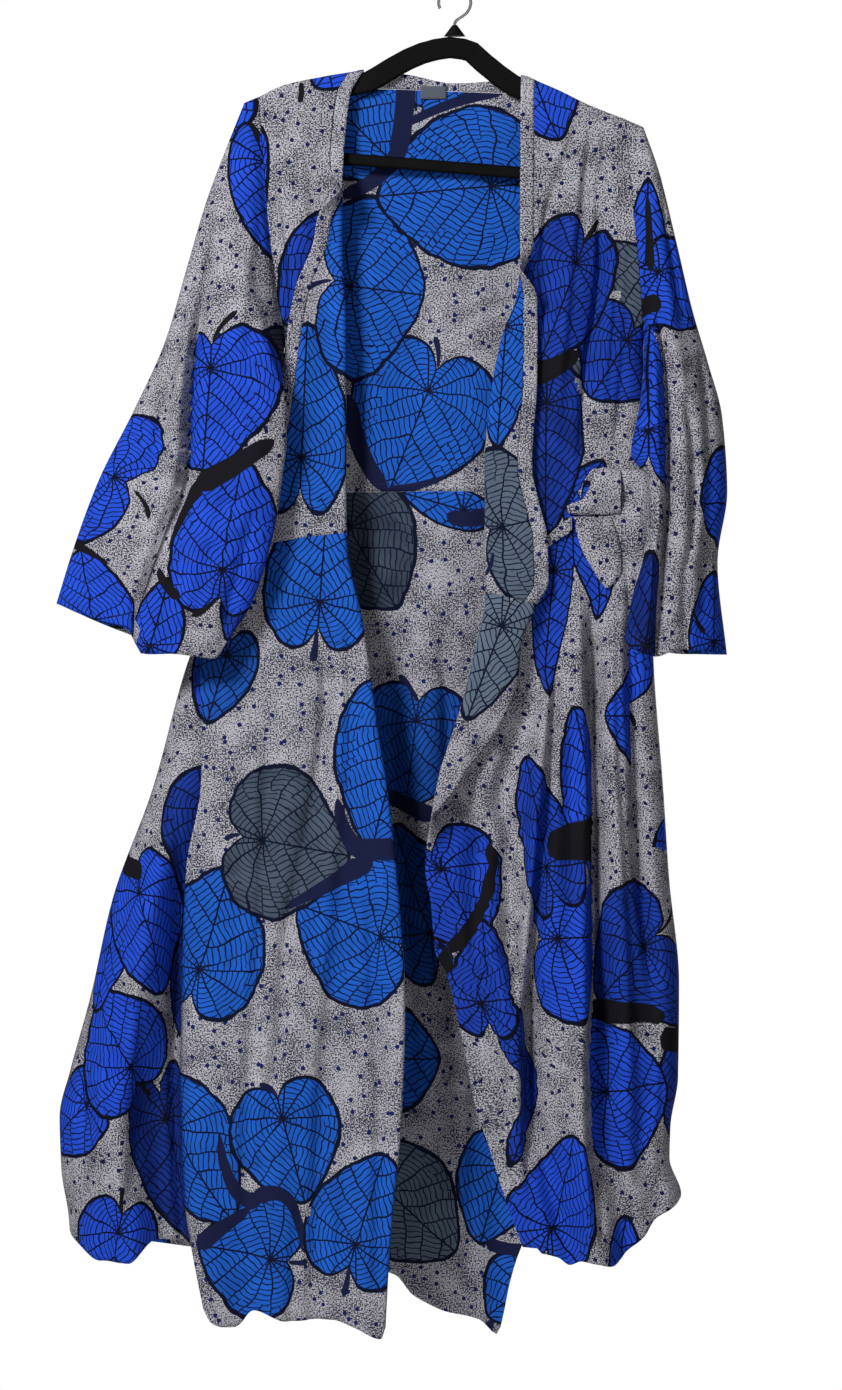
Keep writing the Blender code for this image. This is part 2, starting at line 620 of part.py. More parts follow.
def tie_point(x, drop, bulge):
    """A point on cloth that rests on the folds of the right front."""
    rest = min(right_front_depth(x + step, drop) for step in (-TIE_REST, 0, TIE_REST))
    return x, rest - TIE_LIFT - bulge, -drop


def make_tie():
    """The knot on the right front, its two tails and the short band that comes to it from
    under the turned edge."""
    across = np.linspace(0, 1, 5)
    for name, table, bulge in (("tie_short_tail", TIE_SHORT_TAIL, 4), ("tie_long_tail", TIE_LONG_TAIL, 5)):
        points = []
        for drop, left, right in zip(table["drop"], table["left"], table["right"]):
            points.append([tie_point(blend(left, right, t), drop, bulge * math.sin(math.pi * t))
                           for t in across])
        grid_object(name, points, BAND_GREY)
    for name, table, bulge in (("tie_knot", TIE_KNOT, 9), ("tie_band", TIE_BAND, 2)):
        points = []
        for x, top, foot in zip(table["x"], table["top"], table["foot"]):
            high = bulge * min((foot - top) / 40, 1)
            points.append([tie_point(x, blend(top, foot, t), high * math.sin(math.pi * t))
                           for t in across])
        grid_object(name, points, BAND_GREY)


def make_label():
    points = []
    for drop in LABEL_DROPS:
        row = []
        for x in np.linspace(*LABEL_X, 4):
            top = look(SHOULDER, "drop", x, key="x")
            down = SHOULDER_BEND * math.pi / 2 + drop - top - SHOULDER_BEND
            row.append((x, back_point(x, drop, down)[1] - LABEL_LIFT, -drop))
        points.append(row)
    grid_object("neck_label", points, LABEL_WHITE, thickness=LABEL_WALL)


def sweep(name, stations, depth, colour, roughness, metallic=0.0, sides=5):
    """A bar with round edges along "stations" of (x, drop, height), in the hanger's plane."""
    half = depth / 2
    rings = []
    for number, (x, drop, height) in enumerate(stations):
        before = stations[max(number - 1, 0)]
        after = stations[min(number + 1, len(stations) - 1)]
        run, fall = after[0] - before[0], after[1] - before[1]
        length = math.hypot(run, fall)
        up_x, up_z = fall / length, run / length
        ring = []
        for end in (1, -1):
            for i in range(sides):
                angle = math.pi * (i + 0.5) / sides
                rise = end * (height / 2 - half + half * math.sin(angle))
                ring.append((x + up_x * rise, end * half * math.cos(angle), -drop + up_z * rise))
        rings.append(ring)
    closed = [ring + [ring[0]] for ring in rings]
    mesh = grid_mesh(closed)
    bmesh.ops.remove_doubles(mesh, verts=mesh.verts, dist=0.00002)
    bmesh.ops.holes_fill(mesh, edges=[edge for edge in mesh.edges if edge.is_boundary], sides=0)
    return mesh_object(name, mesh, colour, roughness, metallic)


def make_hanger():
    arms = []
    for x in ARM_X:
        before, top, after = (look(ARM_TOP, "drop", x + step, key="x") for step in (-1, 0, 1))
        slope = (after - before) / 2
        inward = ARM_HEIGHT / 2 / math.hypot(1, slope)
        arms.append((x - slope * inward, top + inward, ARM_HEIGHT))
    sweep("hanger_arms", [*ARM_LEFT_TIP, *arms, *ARM_RIGHT_TIP], HANGER_DEPTH, HANGER_BLACK, 0.35)
    bar = [(blend(BAR[0][0], BAR[1][0], t), blend(BAR[0][1], BAR[1][1], t), height)
           for t, height in BAR_HEIGHTS]
    sweep("hanger_bar", bar, HANGER_DEPTH, HANGER_BLACK, 0.35)
    mesh = bmesh.new()
    bmesh.ops.create_cone(mesh, cap_ends=True, segments=16, radius1=NECK_BASE / 2, radius2=NECK_TOP / 2,
                          depth=NECK_HEIGHT)
    for vertex in mesh.verts:
        vertex.co.y *= HANGER_DEPTH / NECK_BASE if vertex.co.z < 0 else 1
        vertex.co.z -= NECK_DROP - NECK_HEIGHT / 2
        vertex.co *= MM
    mesh_object("hanger_neck", mesh, HANGER_BLACK, 0.35)
    radius = HOOK_INNER_RADIUS + HOOK_WIRE / 2
    centre = HOOK_INNER_RADIUS
    stations = [(x, drop, HOOK_WIRE) for x, drop in HOOK_SHANK]
    for degrees in range(-62, 206, 19):
        angle = math.radians(degrees)
        stations.append((radius * math.cos(angle), centre - radius * math.sin(angle), HOOK_WIRE))
    sweep("hanger_hook", stations, HOOK_WIRE, HOOK_STEEL, 0.25, 1.0, sides=4)


def remove_start_objects():
    for thing in list(bpy.data.objects):
        bpy.data.objects.remove(thing)


remove_start_objects()
collection = bpy.data.collections.new("wrap_dress")
bpy.context.scene.collection.children.link(collection)

make_back()
make_front(-1, "left", LEFT_EDGE, LEFT_FOLDS, LEFT_FLAP_FOLDS, LEFT_WAIST, LEFT_HEM, 16, 2, 4)
make_front(1, "right", RIGHT_EDGE, RIGHT_FOLDS, (), RIGHT_WAIST, RIGHT_HEM, 16, 1, 2)
make_sleeve(-1, "left_sleeve", LEFT_SLEEVE, LEFT_CUFF)
make_sleeve(1, "right_sleeve", RIGHT_SLEEVE, RIGHT_CUFF)
make_tie()
make_label()
make_hanger()
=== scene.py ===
import math
from collections import namedtuple
from functools import partialmethod

import bpy
import mathutils
import numpy as np
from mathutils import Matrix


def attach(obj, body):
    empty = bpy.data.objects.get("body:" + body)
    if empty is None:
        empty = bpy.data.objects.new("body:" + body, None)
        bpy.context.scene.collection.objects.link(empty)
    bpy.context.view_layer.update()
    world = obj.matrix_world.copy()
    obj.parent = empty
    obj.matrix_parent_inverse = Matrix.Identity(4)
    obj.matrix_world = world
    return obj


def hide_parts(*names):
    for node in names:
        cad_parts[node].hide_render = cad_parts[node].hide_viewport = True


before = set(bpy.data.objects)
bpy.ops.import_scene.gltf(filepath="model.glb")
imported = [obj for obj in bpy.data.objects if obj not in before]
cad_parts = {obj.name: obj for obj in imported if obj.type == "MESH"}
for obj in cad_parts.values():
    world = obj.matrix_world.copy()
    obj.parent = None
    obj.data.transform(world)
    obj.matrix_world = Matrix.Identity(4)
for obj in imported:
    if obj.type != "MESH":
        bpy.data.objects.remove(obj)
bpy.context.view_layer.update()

MM = 0.001
PIXEL = 1.1
PIXEL_ORIGIN = (455.0, -18.0)
BODY = "root"

# Cloth
SHELL = 0.8
SHOULDER_BEND = 5.0
ROLL_RADIUS = 5.0
ROLL_LENGTH = math.pi * ROLL_RADIUS
BAND_WIDTH = 16.0
BAND_START = 1.85
HALF_SEAM = 0.15
WAIST_GAP = 0.1
SLEEVE_START = 1.0
SHOULDER_SLOPE = 0.42
SHOULDER_LEVEL = 100.0
HALF_TURN = math.pi / 2
BEND_LENGTH = SHOULDER_BEND * HALF_TURN

# Columns of a front: 0 at its side seam, 1 where its edge starts to roll over, 2 at the edge
ROLL_END = 1.25
OUTER_MIDDLE, ROLL_MIDDLE, FLAP_MIDDLE = 0.5, 1.125, 1.55
FLAP_SEAM = 1.5

# Lengths over which cloth comes to its hanging depth, and its folds and creases fade out
CLOSING_LENGTH = 40.0
SETTLING_LENGTH = 50.0
FOLD_FADE = 30.0
LONG_FOLD_FOOT = 1300.0
SIDE_EASE, TOP_EASE, FOOT_EASE = 45.0, 40.0, 25.0
CREASE_BOW, CREASE_FADE = 0.06, 0.8

# Height of the cloth's slight waviness, and a number that sets how each piece's ripples lie
BODICE_WAVES, SKIRT_WAVES = 1.3, 1.6
RIPPLES = 9
FRONT_BODICE_SEED, FRONT_SKIRT_SEED, SLEEVE_SEED = 2, 5, 13
BACK_BODICE_SEED, BACK_SKIRT_SEED = 9, 10

# Rows and columns of the shells' grids
OVER_ROWS, UPPER_ROWS, LOWER_ROWS = 4, 62, 34
FRONT_SKIRT_ROWS, BACK_SKIRT_ROWS = 176, 180
BODICE_COLUMNS = (64, 8, 30, 0)
SKIRT_COLUMNS = (80, 10, 44, 4)
BACK_SHOULDER_COLUMNS, BACK_NECK_COLUMNS, BACK_SKIRT_COLUMNS = 27, 37, 141
BAND_LINES, NECK_BAND_COLUMNS = 6, 60
RING_POINTS, ROWS_A_RING = 45, 14
SLEEVE_JOIN = (0, 0.25, 0.5, 0.75)
NO_SEWING = 99.0

# Where columns crowd together, and where creases start or fade within a piece
SEAM_CROWDING, RING_CROWDING = 0.35, 0.7
BAND_CALM, BAND_CALM_WIDTH = 1.6, 0.25
BACK_CREASE_START = 60.0
GROOVE_ROWS = 3
RING_EASE = 0.12
JOIN_ROWS, JOIN_EASE = 6, 10
BAND_GAP, NECK_BAND_INSET = 0.004, 1.2


def rows(names, *values):
    """A table with named columns, as a dictionary of arrays."""
    return {name: np.array(column, float) for name, column in zip(names.split(), zip(*values))}


# The cloth's top over the hanger, and the free neck edge behind it
SHOULDER = rows(
    "x drop",
    (-217, 121), (-187, 108), (-137.5, 97), (-110, 92.6), (-100, 90.5), (0, 93.5),
    (74, 97), (99, 106.5), (115.5, 113.5), (148.5, 129.8), (190, 146.5))
NECK_LEFT, NECK_RIGHT = -100.0, 74.0
NECK_EDGE = rows(
    "x drop",
    (-100, 92.5), (-57, 94.5), (0, 104.5), (40, 102.5), (74, 98.5))
NECK_BAND_DEPTH = 23.0

# The armholes, from the shoulder's corner to the underarm, and the side seams
SHOULDER_CORNER = {-1: 121.0, 1: 146.0}
UNDERARM = {-1: 399.0, 1: 394.0}
SIDE = {
    -1: rows(
        "drop x",
        (90, -218), (121, -217), (185, -212), (262, -206), (339, -197), (399, -188),
        (440, -197), (493, -212), (560, -228), (619, -243), (702, -275), (740, -293),
        (889, -335), (1010, -379), (1120, -404), (1200, -426), (1252, -438), (1310, -436),
        (1362, -428), (1420, -424)),
    1: rows(
        "drop x",
        (90, 189), (146.5, 190), (220, 195), (306, 203), (394, 209), (493, 213),
        (560, 216), (619, 217), (740, 220), (889, 231), (988, 237.6), (1103, 248.6),
        (1208, 247.5), (1263, 239), (1298, 238), (1338, 251), (1400, 250)),
}

# How far the cloth stands in front of and behind the side seams, and how round the sides are
DEPTH = rows(
    "drop front back side",
    (90, 12, 12, 20), (200, 14, 14, 20), (400, 16, 16, 22), (560, 17, 18, 28),
    (700, 25, 26, 40), (900, 38, 38, 55), (1100, 48, 46, 70), (1300, 56, 52, 85),
    (1510, 62, 58, 95))

# The front edges. "reach" is how far the cloth comes across the body, "flap" is the width
# that is turned back over it, and "turn" is 1 where it is turned right over.
LEFT_EDGE = rows(
    "drop reach flap turn",
    (90, -100, 18, 0), (119, -115.5, 18, 0), (163, -121, 18, 0), (190, -123, 18, 0.02),
    (225, -124, 19, 0.45), (262, -124, 24, 0.96), (284, -124, 27, 1), (333, -122, 48, 1),
    (383, -120, 60, 1), (460, -120, 70, 1), (537, -120, 84, 1), (614, -119, 104, 1),
    (702, -102, 158, 1), (740, -96, 180, 1), (812, -86, 187, 1), (889, -74, 200, 1),
    (977, -64, 226, 1), (1120, -55, 240, 1), (1180, -56, 240, 1), (1250, -59, 236, 1),
    (1345, -68, 222, 1), (1394, -72, 209, 1), (1466, -76, 190, 1))
RIGHT_EDGE = rows(
    "drop reach flap turn",
    (90, 74, 18, 0), (119, 73, 18, 0), (272, 72, 18, 0), (300, 72, 18, 0.22),
    (325, 71, 18, 0.6), (350, 67, 20, 0.93), (380, 55, 31, 1), (416, 46, 40, 1), (460, 38.5, 46, 1),
    (535, 33, 47, 1), (570, 33, 54, 1), (617, 33, 64, 1), (660, 34, 64, 1),
    (690, 33, 50, 1), (723, 25, 44, 1), (779, 12, 50, 1), (839, -7, 38, 1),
    (870, -17, 24, 0.97), (900, -23, 18, 0.7), (930, -28, 18, 0.25), (955, -32, 18, 0.02),
    (977, -33, 18, 0), (1010, -27, 18, 0), (1065, -22, 18, 0), (1094, -8, 18, 0),
    (1164, 8, 18, 0), (1237, 23, 18, 0), (1285, 39, 18, 0), (1318, 49, 18, 0),
    (1356, 62, 18, 0), (1400, 78, 18, 0))

# Waist seams and hems, by how far a column lies along each panel. The fronts run from
# 0 at the side seam over 1 at the roll to 2 at the free edge.
BACK_WAIST = rows("along drop", (0, 560), (0.5, 557), (1, 560))
LEFT_WAIST = rows("along drop", (0, 560), (0.5, 580), (1, 603), (1.5, 610), (2, 624))
RIGHT_WAIST = rows(
    "along drop",
    (0, 560), (0.22, 536), (0.34, 534), (0.45, 560), (0.6, 604), (0.8, 645), (1, 668),
    (1.25, 672), (2, 684))
BACK_HEM = rows(
    "along drop",
    (0, 1378), (0.1, 1395), (0.3, 1418), (0.5, 1434), (0.532, 1440), (0.56, 1461),
    (0.602, 1474), (0.672, 1489), (0.702, 1507), (0.709, 1494), (0.722, 1450),
    (0.736, 1417), (0.76, 1386), (0.85, 1372), (1, 1338))
LEFT_HEM = rows(
    "along drop",
    (0, 1378), (0.03, 1386), (0.11, 1402), (0.2, 1402), (0.28, 1380), (0.36, 1384),
    (0.5, 1402), (0.8, 1422), (1, 1436), (1.07, 1466), (1.17, 1473), (1.25, 1484),
    (1.34, 1473), (1.45, 1464), (1.6, 1466), (1.72, 1454), (1.8, 1472), (1.95, 1467),
    (2, 1452))
RIGHT_HEM = rows(
    "along drop",
    (0, 1338), (0.05, 1346), (0.2, 1360), (0.29, 1378), (0.44, 1395), (0.56, 1408),
    (0.68, 1404), (0.8, 1403), (0.9, 1409), (1, 1400), (2, 1389))

# Folds: soft troughs (positive depth) and ridges (negative) that run down a panel from their
# top to their foot. "top" and "foot" are places across the panel: 0 at its left or outer side
# seam, 1 at the back's right side seam or a front's roll. Width is half the distance across.
Fold = namedtuple("Fold", "top top_drop foot foot_drop width depth")
BACK_FOLDS = (
    Fold(0.42, 575, 0.53, 1520, 20, 10), Fold(0.5, 600, 0.62, 1520, 20, -12),
    Fold(0.2, 620, 0.24, 1520, 30, 14), Fold(0.8, 600, 0.82, 1520, 26, 13),
    Fold(0.09, 700, 0.11, 1520, 28, -11), Fold(0.34, 330, 0.36, 640, 26, 6),
    Fold(0.66, 260, 0.64, 640, 26, 6), Fold(0.36, 760, 0.4, 1520, 24, -9),
    Fold(0.68, 640, 0.71, 1520, 24, 11), Fold(0.91, 700, 0.92, 1520, 26, -10))
LEFT_FOLDS = (
    Fold(0.13, 840, 0.21, 1400, 21, -22), Fold(0.225, 840, 0.32, 1400, 20, 16),
    Fold(0.06, 980, 0.06, 1420, 18, -8), Fold(0.75, 200, 0.77, 600, 18, 6),
    Fold(0.74, 640, 0.78, 1500, 30, 9), Fold(0.44, 700, 0.56, 1500, 26, 8),
    Fold(1.0, 700, 0.95, 1500, 18, -7))
LEFT_FLAP_FOLDS = (
    Fold(0.65, 640, 0.68, 1500, 24, -4), Fold(0.36, 700, 0.5, 1500, 22, -5))
RIGHT_FOLDS = (
    Fold(0.5, 150, 0.62, 340, 14, 6), Fold(0.3, 170, 0.38, 500, 18, 9),
    Fold(0.8, 180, 0.8, 420, 14, 5), Fold(0.6, 600, 0.93, 1420, 17, 24),
    Fold(0.335, 560, 0.46, 1420, 16, 20), Fold(0.45, 620, 0.66, 1420, 16, -11),
    Fold(0.78, 740, 1.1, 1330, 15, 14), Fold(0.16, 640, 0.2, 1420, 20, 11),
    Fold(0.84, 950, 0.98, 1420, 14, -9), Fold(0.06, 860, 0.08, 1380, 16, -7))

# Sleeves: rings between an outer and an inner point. "front" is how far each point lies in
# front of the side seams, and "half" is half the ring's depth.
LEFT_SLEEVE = rows(
    "outer_x outer_drop outer_front inner_x inner_drop inner_front half",
    (-233, 128, 2, -189.3, 406, 10, 17), (-254, 182, 6, -190, 436, 34, 18),
    (-275, 240, 10, -184, 466, 56, 22), (-297, 317, 16, -184, 505, 58, 22),
    (-319, 394, 22, -189, 545, 56, 22), (-353, 471, 28, -194, 585, 60, 22),
    (-391, 548, 34, -204, 630, 64, 22), (-418, 622, 38, -222, 684, 66, 22),
    (-437, 684, 40, -247, 722, 68, 21))
RIGHT_SLEEVE = rows(
    "outer_x outer_drop outer_front inner_x inner_drop inner_front half",
    (209, 155, 2, 209.6, 402, 10, 15), (226, 205, 6, 208, 430, 26, 18),
    (245, 285, 12, 202, 470, 44, 24), (262, 360, 18, 192, 520, 60, 30),
    (279, 420, 24, 212, 552, 62, 31), (294, 480, 28, 211, 592, 66, 31),
    (299, 560, 32, 205, 634, 70, 30), (288, 640, 36, 192, 680, 72, 28),
    (298, 735, 38, 184, 722, 74, 26))
Groove = namedtuple("Groove", "centre width depth")
SLEEVE_GROOVES = {
    -1: (Groove(0.8, 0.08, -4),),
    1: (Groove(0.3, 0.1, -5), Groove(0.42, 0.04, 5)),
}

# How much lower than the last ring each sleeve's hem hangs, from its outer to its inner edge
LEFT_CUFF = rows(
    "part front back",
    (0, 0, 0), (0.25, 10, 12), (0.42, 12, 18), (0.5, 36, 20), (0.71, 29, 18), (0.92, 26, 10),
    (1, 2, 2))
RIGHT_CUFF = rows(
    "part front back",
    (0, 5, 5), (0.28, 5, 8), (0.48, 6, 10), (0.72, 17, 8), (0.95, 11, 4), (1, 2, 2))

# The tie's pieces: strips between two edges
TIE_KNOT = rows(
    "x top foot",
    (124, 575.5, 583), (130, 573, 585), (140, 569, 586), (148, 556, 587), (156, 536, 587),
    (168, 533, 586), (183, 537, 584))
TIE_SHORT_TAIL = rows(
    "drop left right",
    (587.6, 131, 173), (598, 133, 176), (608, 135, 179), (628, 142, 184), (647, 153, 184),
    (660, 161, 177), (666, 165, 169))
TIE_LONG_TAIL = rows(
    "drop left right",
    (537, 183.8, 224), (560, 183.8, 228), (592, 184.5, 226), (615, 186, 221), (638, 187, 215),
    (659, 189, 208), (676, 191, 200), (686, 192, 196))
TIE_BAND = rows("x top foot", (95, 612, 625), (104, 607, 620), (114, 598, 613), (129, 586.5, 604))
TIE_REST = 6.0
TIE_LIFT = 2.6
TIE_FROM_SEAM = 26.0
TIE_ACROSS, TAIL_ROWS, KNOT_COLUMNS = 15, 44, 40
TAIL_PLEAT, TAIL_LEAN = 1.1, 26.0
KNOT_PLEAT, KNOT_LEAN, KNOT_FULL = 0.12, 9.0, 40.0

# The blank label inside the back of the neck
LABEL_X = (-38.0, -9.0)
LABEL_DROPS = (108.0, 122.0)
LABEL_LIFT = 2.0


# The print. A leaf has its notch, its tip and its width across, in pixels of the photo where
# it shows. Its tone is 0 for blue and 1 for slate; below 0 the blue and above 1 the slate are
# painted darker, as painted shade on leaves that lie in shadow. A stem has its two ends, the
# point that bends it and its widths. Each region of a panel has its own list, and a leaf lies
# over those after it.
Leaf = namedtuple("Leaf", "notch_x notch_y tip_x tip_y width tone")
Stem = namedtuple("Stem", "x0 y0 bend_x bend_y x1 y1 width0 width1")
BACK_LEAVES = (
    Leaf(519, 178, 376, 190, 160, 0), Leaf(325, 90, 402, 165, 120, 0), Leaf(455, 50, 418, 104, 60, 0),
    Leaf(333, 279, 424, 290, 184, 0), Leaf(438, 362, 388, 490, 148, 0), Leaf(478, 512, 403, 490, 40, 0),
    Leaf(335, 505, 396, 606, 125, 1.5), Leaf(419, 700, 405, 812, 125, -0.2),
    Leaf(440, 962, 395, 828, 110, -0.3), Leaf(378, 1068, 440, 1066, 105, -0.1),
    Leaf(372, 1192, 456, 1264, 122, 1.2), Leaf(503, 1160, 482, 1257, 92, 0),
    Leaf(537, 1300, 490, 1332, 90, 0))
BACK_STEMS = (
    Stem(406, 66, 406, 112, 396, 152, 20, 19), Stem(404, 134, 384, 178, 338, 190, 18, 13),
    Stem(402, 120, 450, 92, 508, 84, 8, 12), Stem(347, 390, 352, 450, 388, 490, 22, 14),
    Stem(386, 488, 412, 487, 444, 474, 12, 5), Stem(447, 512, 470, 522, 494, 510, 14, 18),
    Stem(384, 798, 408, 806, 437, 820, 16, 18), Stem(488, 1256, 506, 1268, 530, 1262, 14, 12),
    Stem(438, 364, 441, 346, 435, 332, 3, 7), Stem(417, 702, 411, 684, 398, 675, 3, 8))
LEFT_FLAP_LEAVES = (
    Leaf(333, 279, 424, 290, 184, 0), Leaf(300, 490, 307, 322, 92, 0), Leaf(318, 629, 328, 486, 112, 0),
    Leaf(243, 836, 350, 855, 150, 1.35), Leaf(413, 700, 372, 848, 130, 0),
    Leaf(193, 992, 232, 866, 122, 0), Leaf(400, 943, 298, 903, 150, 0),
    Leaf(279, 1094, 306, 1198, 114, 0), Leaf(165, 1105, 235, 1215, 110, 0),
    Leaf(289, 1256, 202, 1238, 124, 0), Leaf(350, 1260, 384, 1150, 116, 0),
    Leaf(232, 640, 208, 722, 64, -0.2))
LEFT_FLAP_STEMS = (
    Stem(338, 798, 342, 842, 366, 852, 10, 22), Stem(352, 850, 372, 848, 398, 848, 22, 22),
    Stem(372, 856, 335, 882, 286, 908, 24, 6), Stem(221, 1128, 230, 1202, 262, 1196, 7, 19),
    Stem(252, 1197, 298, 1164, 303, 1244, 18, 7), Stem(199, 1241, 222, 1222, 252, 1203, 19, 8),
    Stem(332, 279, 315, 279, 300, 293, 3, 7), Stem(317, 629, 316, 645, 313, 662, 3, 9),
    Stem(241, 834, 233, 833, 226, 839, 3, 6), Stem(279, 1094, 273, 1083, 261, 1081, 4, 7),
    Stem(350, 1260, 349, 1274, 344, 1290, 3, 8), Stem(290, 1256, 299, 1259, 308, 1256, 3, 7))
LEFT_OUTER_LEAVES = (
    Leaf(352, 235, 283, 322, 100, -0.25), Leaf(348, 42, 315, 83, 60, 0), Leaf(137, 869, 161, 992, 122, 0),
    Leaf(118, 905, 94, 1012, 66, 0), Leaf(138, 1079, 99, 992, 120, 0), Leaf(97, 1092, 56, 1150, 84, 0),
    Leaf(126, 1208, 112, 1306, 108, 0), Leaf(235, 640, 206, 722, 70, -0.2),
    Leaf(226, 790, 190, 900, 110, -0.4), Leaf(185, 1018, 178, 905, 52, -0.5),
    Leaf(160, 1090, 192, 1238, 100, -0.5), Leaf(312, 352, 256, 346, 62, 1.5))
LEFT_OUTER_STEMS = (
    Stem(124, 864, 133, 868, 143, 872, 20, 20), Stem(300, 78, 302, 88, 299, 99, 5, 6),
    Stem(138, 1079, 146, 1083, 150, 1096, 3, 6), Stem(126, 1209, 124, 1195, 127, 1181, 3, 5))
LEFT_SLEEVE_FOLD = rows(
    "y x",
    (150, 150), (216, 200), (273, 206), (314, 200), (355, 193), (400, 190), (456, 188), (493, 183),
    (525, 170), (560, 158), (611, 139), (660, 137))
LEFT_SLEEVE_OUTER = ((
    Leaf(129, 484, 60, 453, 150, 0), Leaf(100, 645, 82, 550, 92, 0), Leaf(225, 92, 236, 136, 50, 0)), (
    Stem(74, 544, 95, 554, 112, 566, 12, 4), Stem(136, 492, 148, 502, 152, 521, 3, 6)))
LEFT_SLEEVE_INNER = ((
    Leaf(262, 135, 274, 258, 72, 0), Leaf(213, 345, 205, 474, 146, 0), Leaf(222, 598, 244, 462, 112, 0),
    Leaf(148, 662, 172, 580, 60, 0), Leaf(225, 92, 236, 136, 50, 0), Leaf(312, 352, 256, 346, 62, 1.5),
    Leaf(264, 644, 238, 556, 70, -0.4)), (
    Stem(276, 443, 240, 466, 198, 490, 15, 25), Stem(203, 484, 184, 512, 170, 554, 18, 3),
    Stem(162, 570, 168, 588, 183, 600, 8, 11), Stem(214, 346, 220, 324, 239, 314, 3, 7),
    Stem(221, 598, 211, 612, 195, 617, 3, 8), Stem(258, 138, 255, 128, 249, 120, 3, 5)))
RIGHT_OUTER = ((
    Leaf(530, 58, 560, 137, 82, 0), Leaf(586, 238, 540, 360, 108, -0.3),
    Leaf(636, 326, 592, 396, 114, -0.3), Leaf(638, 352, 607, 240, 172, 1.3),
    Leaf(548, 370, 546, 536, 80, -0.4), Leaf(572, 512, 603, 460, 45, -0.2)), (
    Stem(528, 373, 552, 372, 580, 350, 28, 14), Stem(583, 243, 590, 232, 600, 216, 3, 7)))
RIGHT_SKIRT_NEAR = ((
    Leaf(558, 540, 550, 695, 38, -0.2), Leaf(592, 850, 574, 706, 76, 0),
    Leaf(553, 892, 526, 757, 86, -0.25), Leaf(540, 938, 602, 932, 165, 0),
    Leaf(546, 1248, 572, 1131, 110, 0), Leaf(489, 1022, 484, 920, 76, -0.2),
    Leaf(428, 850, 480, 946, 124, -0.1), Leaf(440, 922, 452, 1046, 34, 0),
    Leaf(515, 1028, 512, 1163, 50, -0.3), Leaf(582, 500, 598, 618, 44, -0.1)), (
    Stem(547, 849, 565, 838, 600, 838, 25, 52), Stem(493, 840, 496, 912, 448, 952, 10, 16),
    Stem(448, 948, 438, 976, 453, 1008, 16, 10)))
RIGHT_SKIRT_MIDDLE = ((
    Leaf(582, 500, 598, 618, 44, -0.1), Leaf(650, 716, 605, 716, 96, 0),
    Leaf(657, 934, 600, 1004, 156, -0.3), Leaf(592, 1093, 666, 1082, 154, 0),
    Leaf(704, 1090, 657, 1104, 120, -0.3), Leaf(620, 1282, 626, 1215, 48, 0)), (
    Stem(590, 1014, 630, 1005, 664, 1018, 22, 24), Stem(660, 1036, 672, 1042, 690, 1042, 24, 26),
    Stem(657, 934, 664, 926, 674, 905, 3, 7)))
RIGHT_SKIRT_FAR = ((), ())
RIGHT_SKIRT_FOLD = rows(
    "y x",
    (560, 589), (660, 592), (740, 593), (1000, 594), (1060, 590), (1130, 592), (1220, 598),
    (1270, 602))
RIGHT_SKIRT_OUTER_FOLD = rows(
    "y x",
    (560, 630), (640, 630), (740, 633), (840, 637), (860, 720), (1270, 720))
LAPEL_LEAVES = (
    Leaf(512, 296, 497, 448, 60, 0), Leaf(490, 530, 556, 514, 156, 1.15), Leaf(510, 604, 467, 719, 66, 1))
LAPEL_STEMS = (Stem(493, 552, 493, 566, 487, 575, 3, 5),)
RIGHT_SLEEVE_FOLD = rows(
    "y x", (290, 625), (335, 655), (360, 662), (440, 664), (500, 664), (560, 659), (610, 655), (660, 652))
RIGHT_SLEEVE_INNER = ((
    Leaf(646, 459, 650, 318, 84, 0), Leaf(640, 664, 650, 556, 74, -0.5)), (
    Stem(629, 309, 645, 307, 660, 303, 20, 18),))
RIGHT_SLEEVE_OUTER = ((
    Leaf(648, 264, 694, 328, 114, 0), Leaf(645, 316, 649, 178, 46, 0), Leaf(748, 503, 698, 505, 116, 0),
    Leaf(710, 660, 713, 572, 60, 0)), (
    Stem(629, 309, 645, 307, 660, 303, 20, 18), Stem(648, 194, 650, 236, 651, 272, 5, 8),
    Stem(690, 612, 693, 624, 702, 634, 3, 7)))

# The repeat that fills what the photo doesn't show, charted in millimetres. A leaf
# here has its middle, its heading in degrees, its length and its width.
REPEAT = (520.0, 640.0)
LEAF_CENTRE = 0.4
LEAF_ROOM, STEM_ROOM = 82.0, 30.0
STALK_BEND, STALK_END, STALK_ASIDE = 16.0, 28.0, 12.0
STALK_WIDTHS = (4.0, 8.0)
RepeatLeaf = namedtuple("RepeatLeaf", "x y heading length width tone")
REPEAT_LEAVES = (
    RepeatLeaf(95, 90, 200, 128, 158, 0), RepeatLeaf(250, 145, 130, 122, 150, 0),
    RepeatLeaf(420, 95, 245, 126, 156, 0), RepeatLeaf(60, 300, 305, 122, 146, 0),
    RepeatLeaf(215, 345, 15, 132, 150, 1), RepeatLeaf(385, 330, 160, 124, 154, 0),
    RepeatLeaf(110, 510, 70, 126, 150, 0), RepeatLeaf(290, 545, 340, 124, 152, 0),
    RepeatLeaf(455, 520, 215, 120, 146, 0))
REPEAT_STEMS = (
    Stem(150, 40, 170, 100, 196, 190, 16, 10), Stem(300, 205, 340, 190, 362, 150, 10, 16),
    Stem(120, 345, 130, 400, 170, 420, 8, 16), Stem(335, 395, 330, 440, 350, 480, 14, 8))

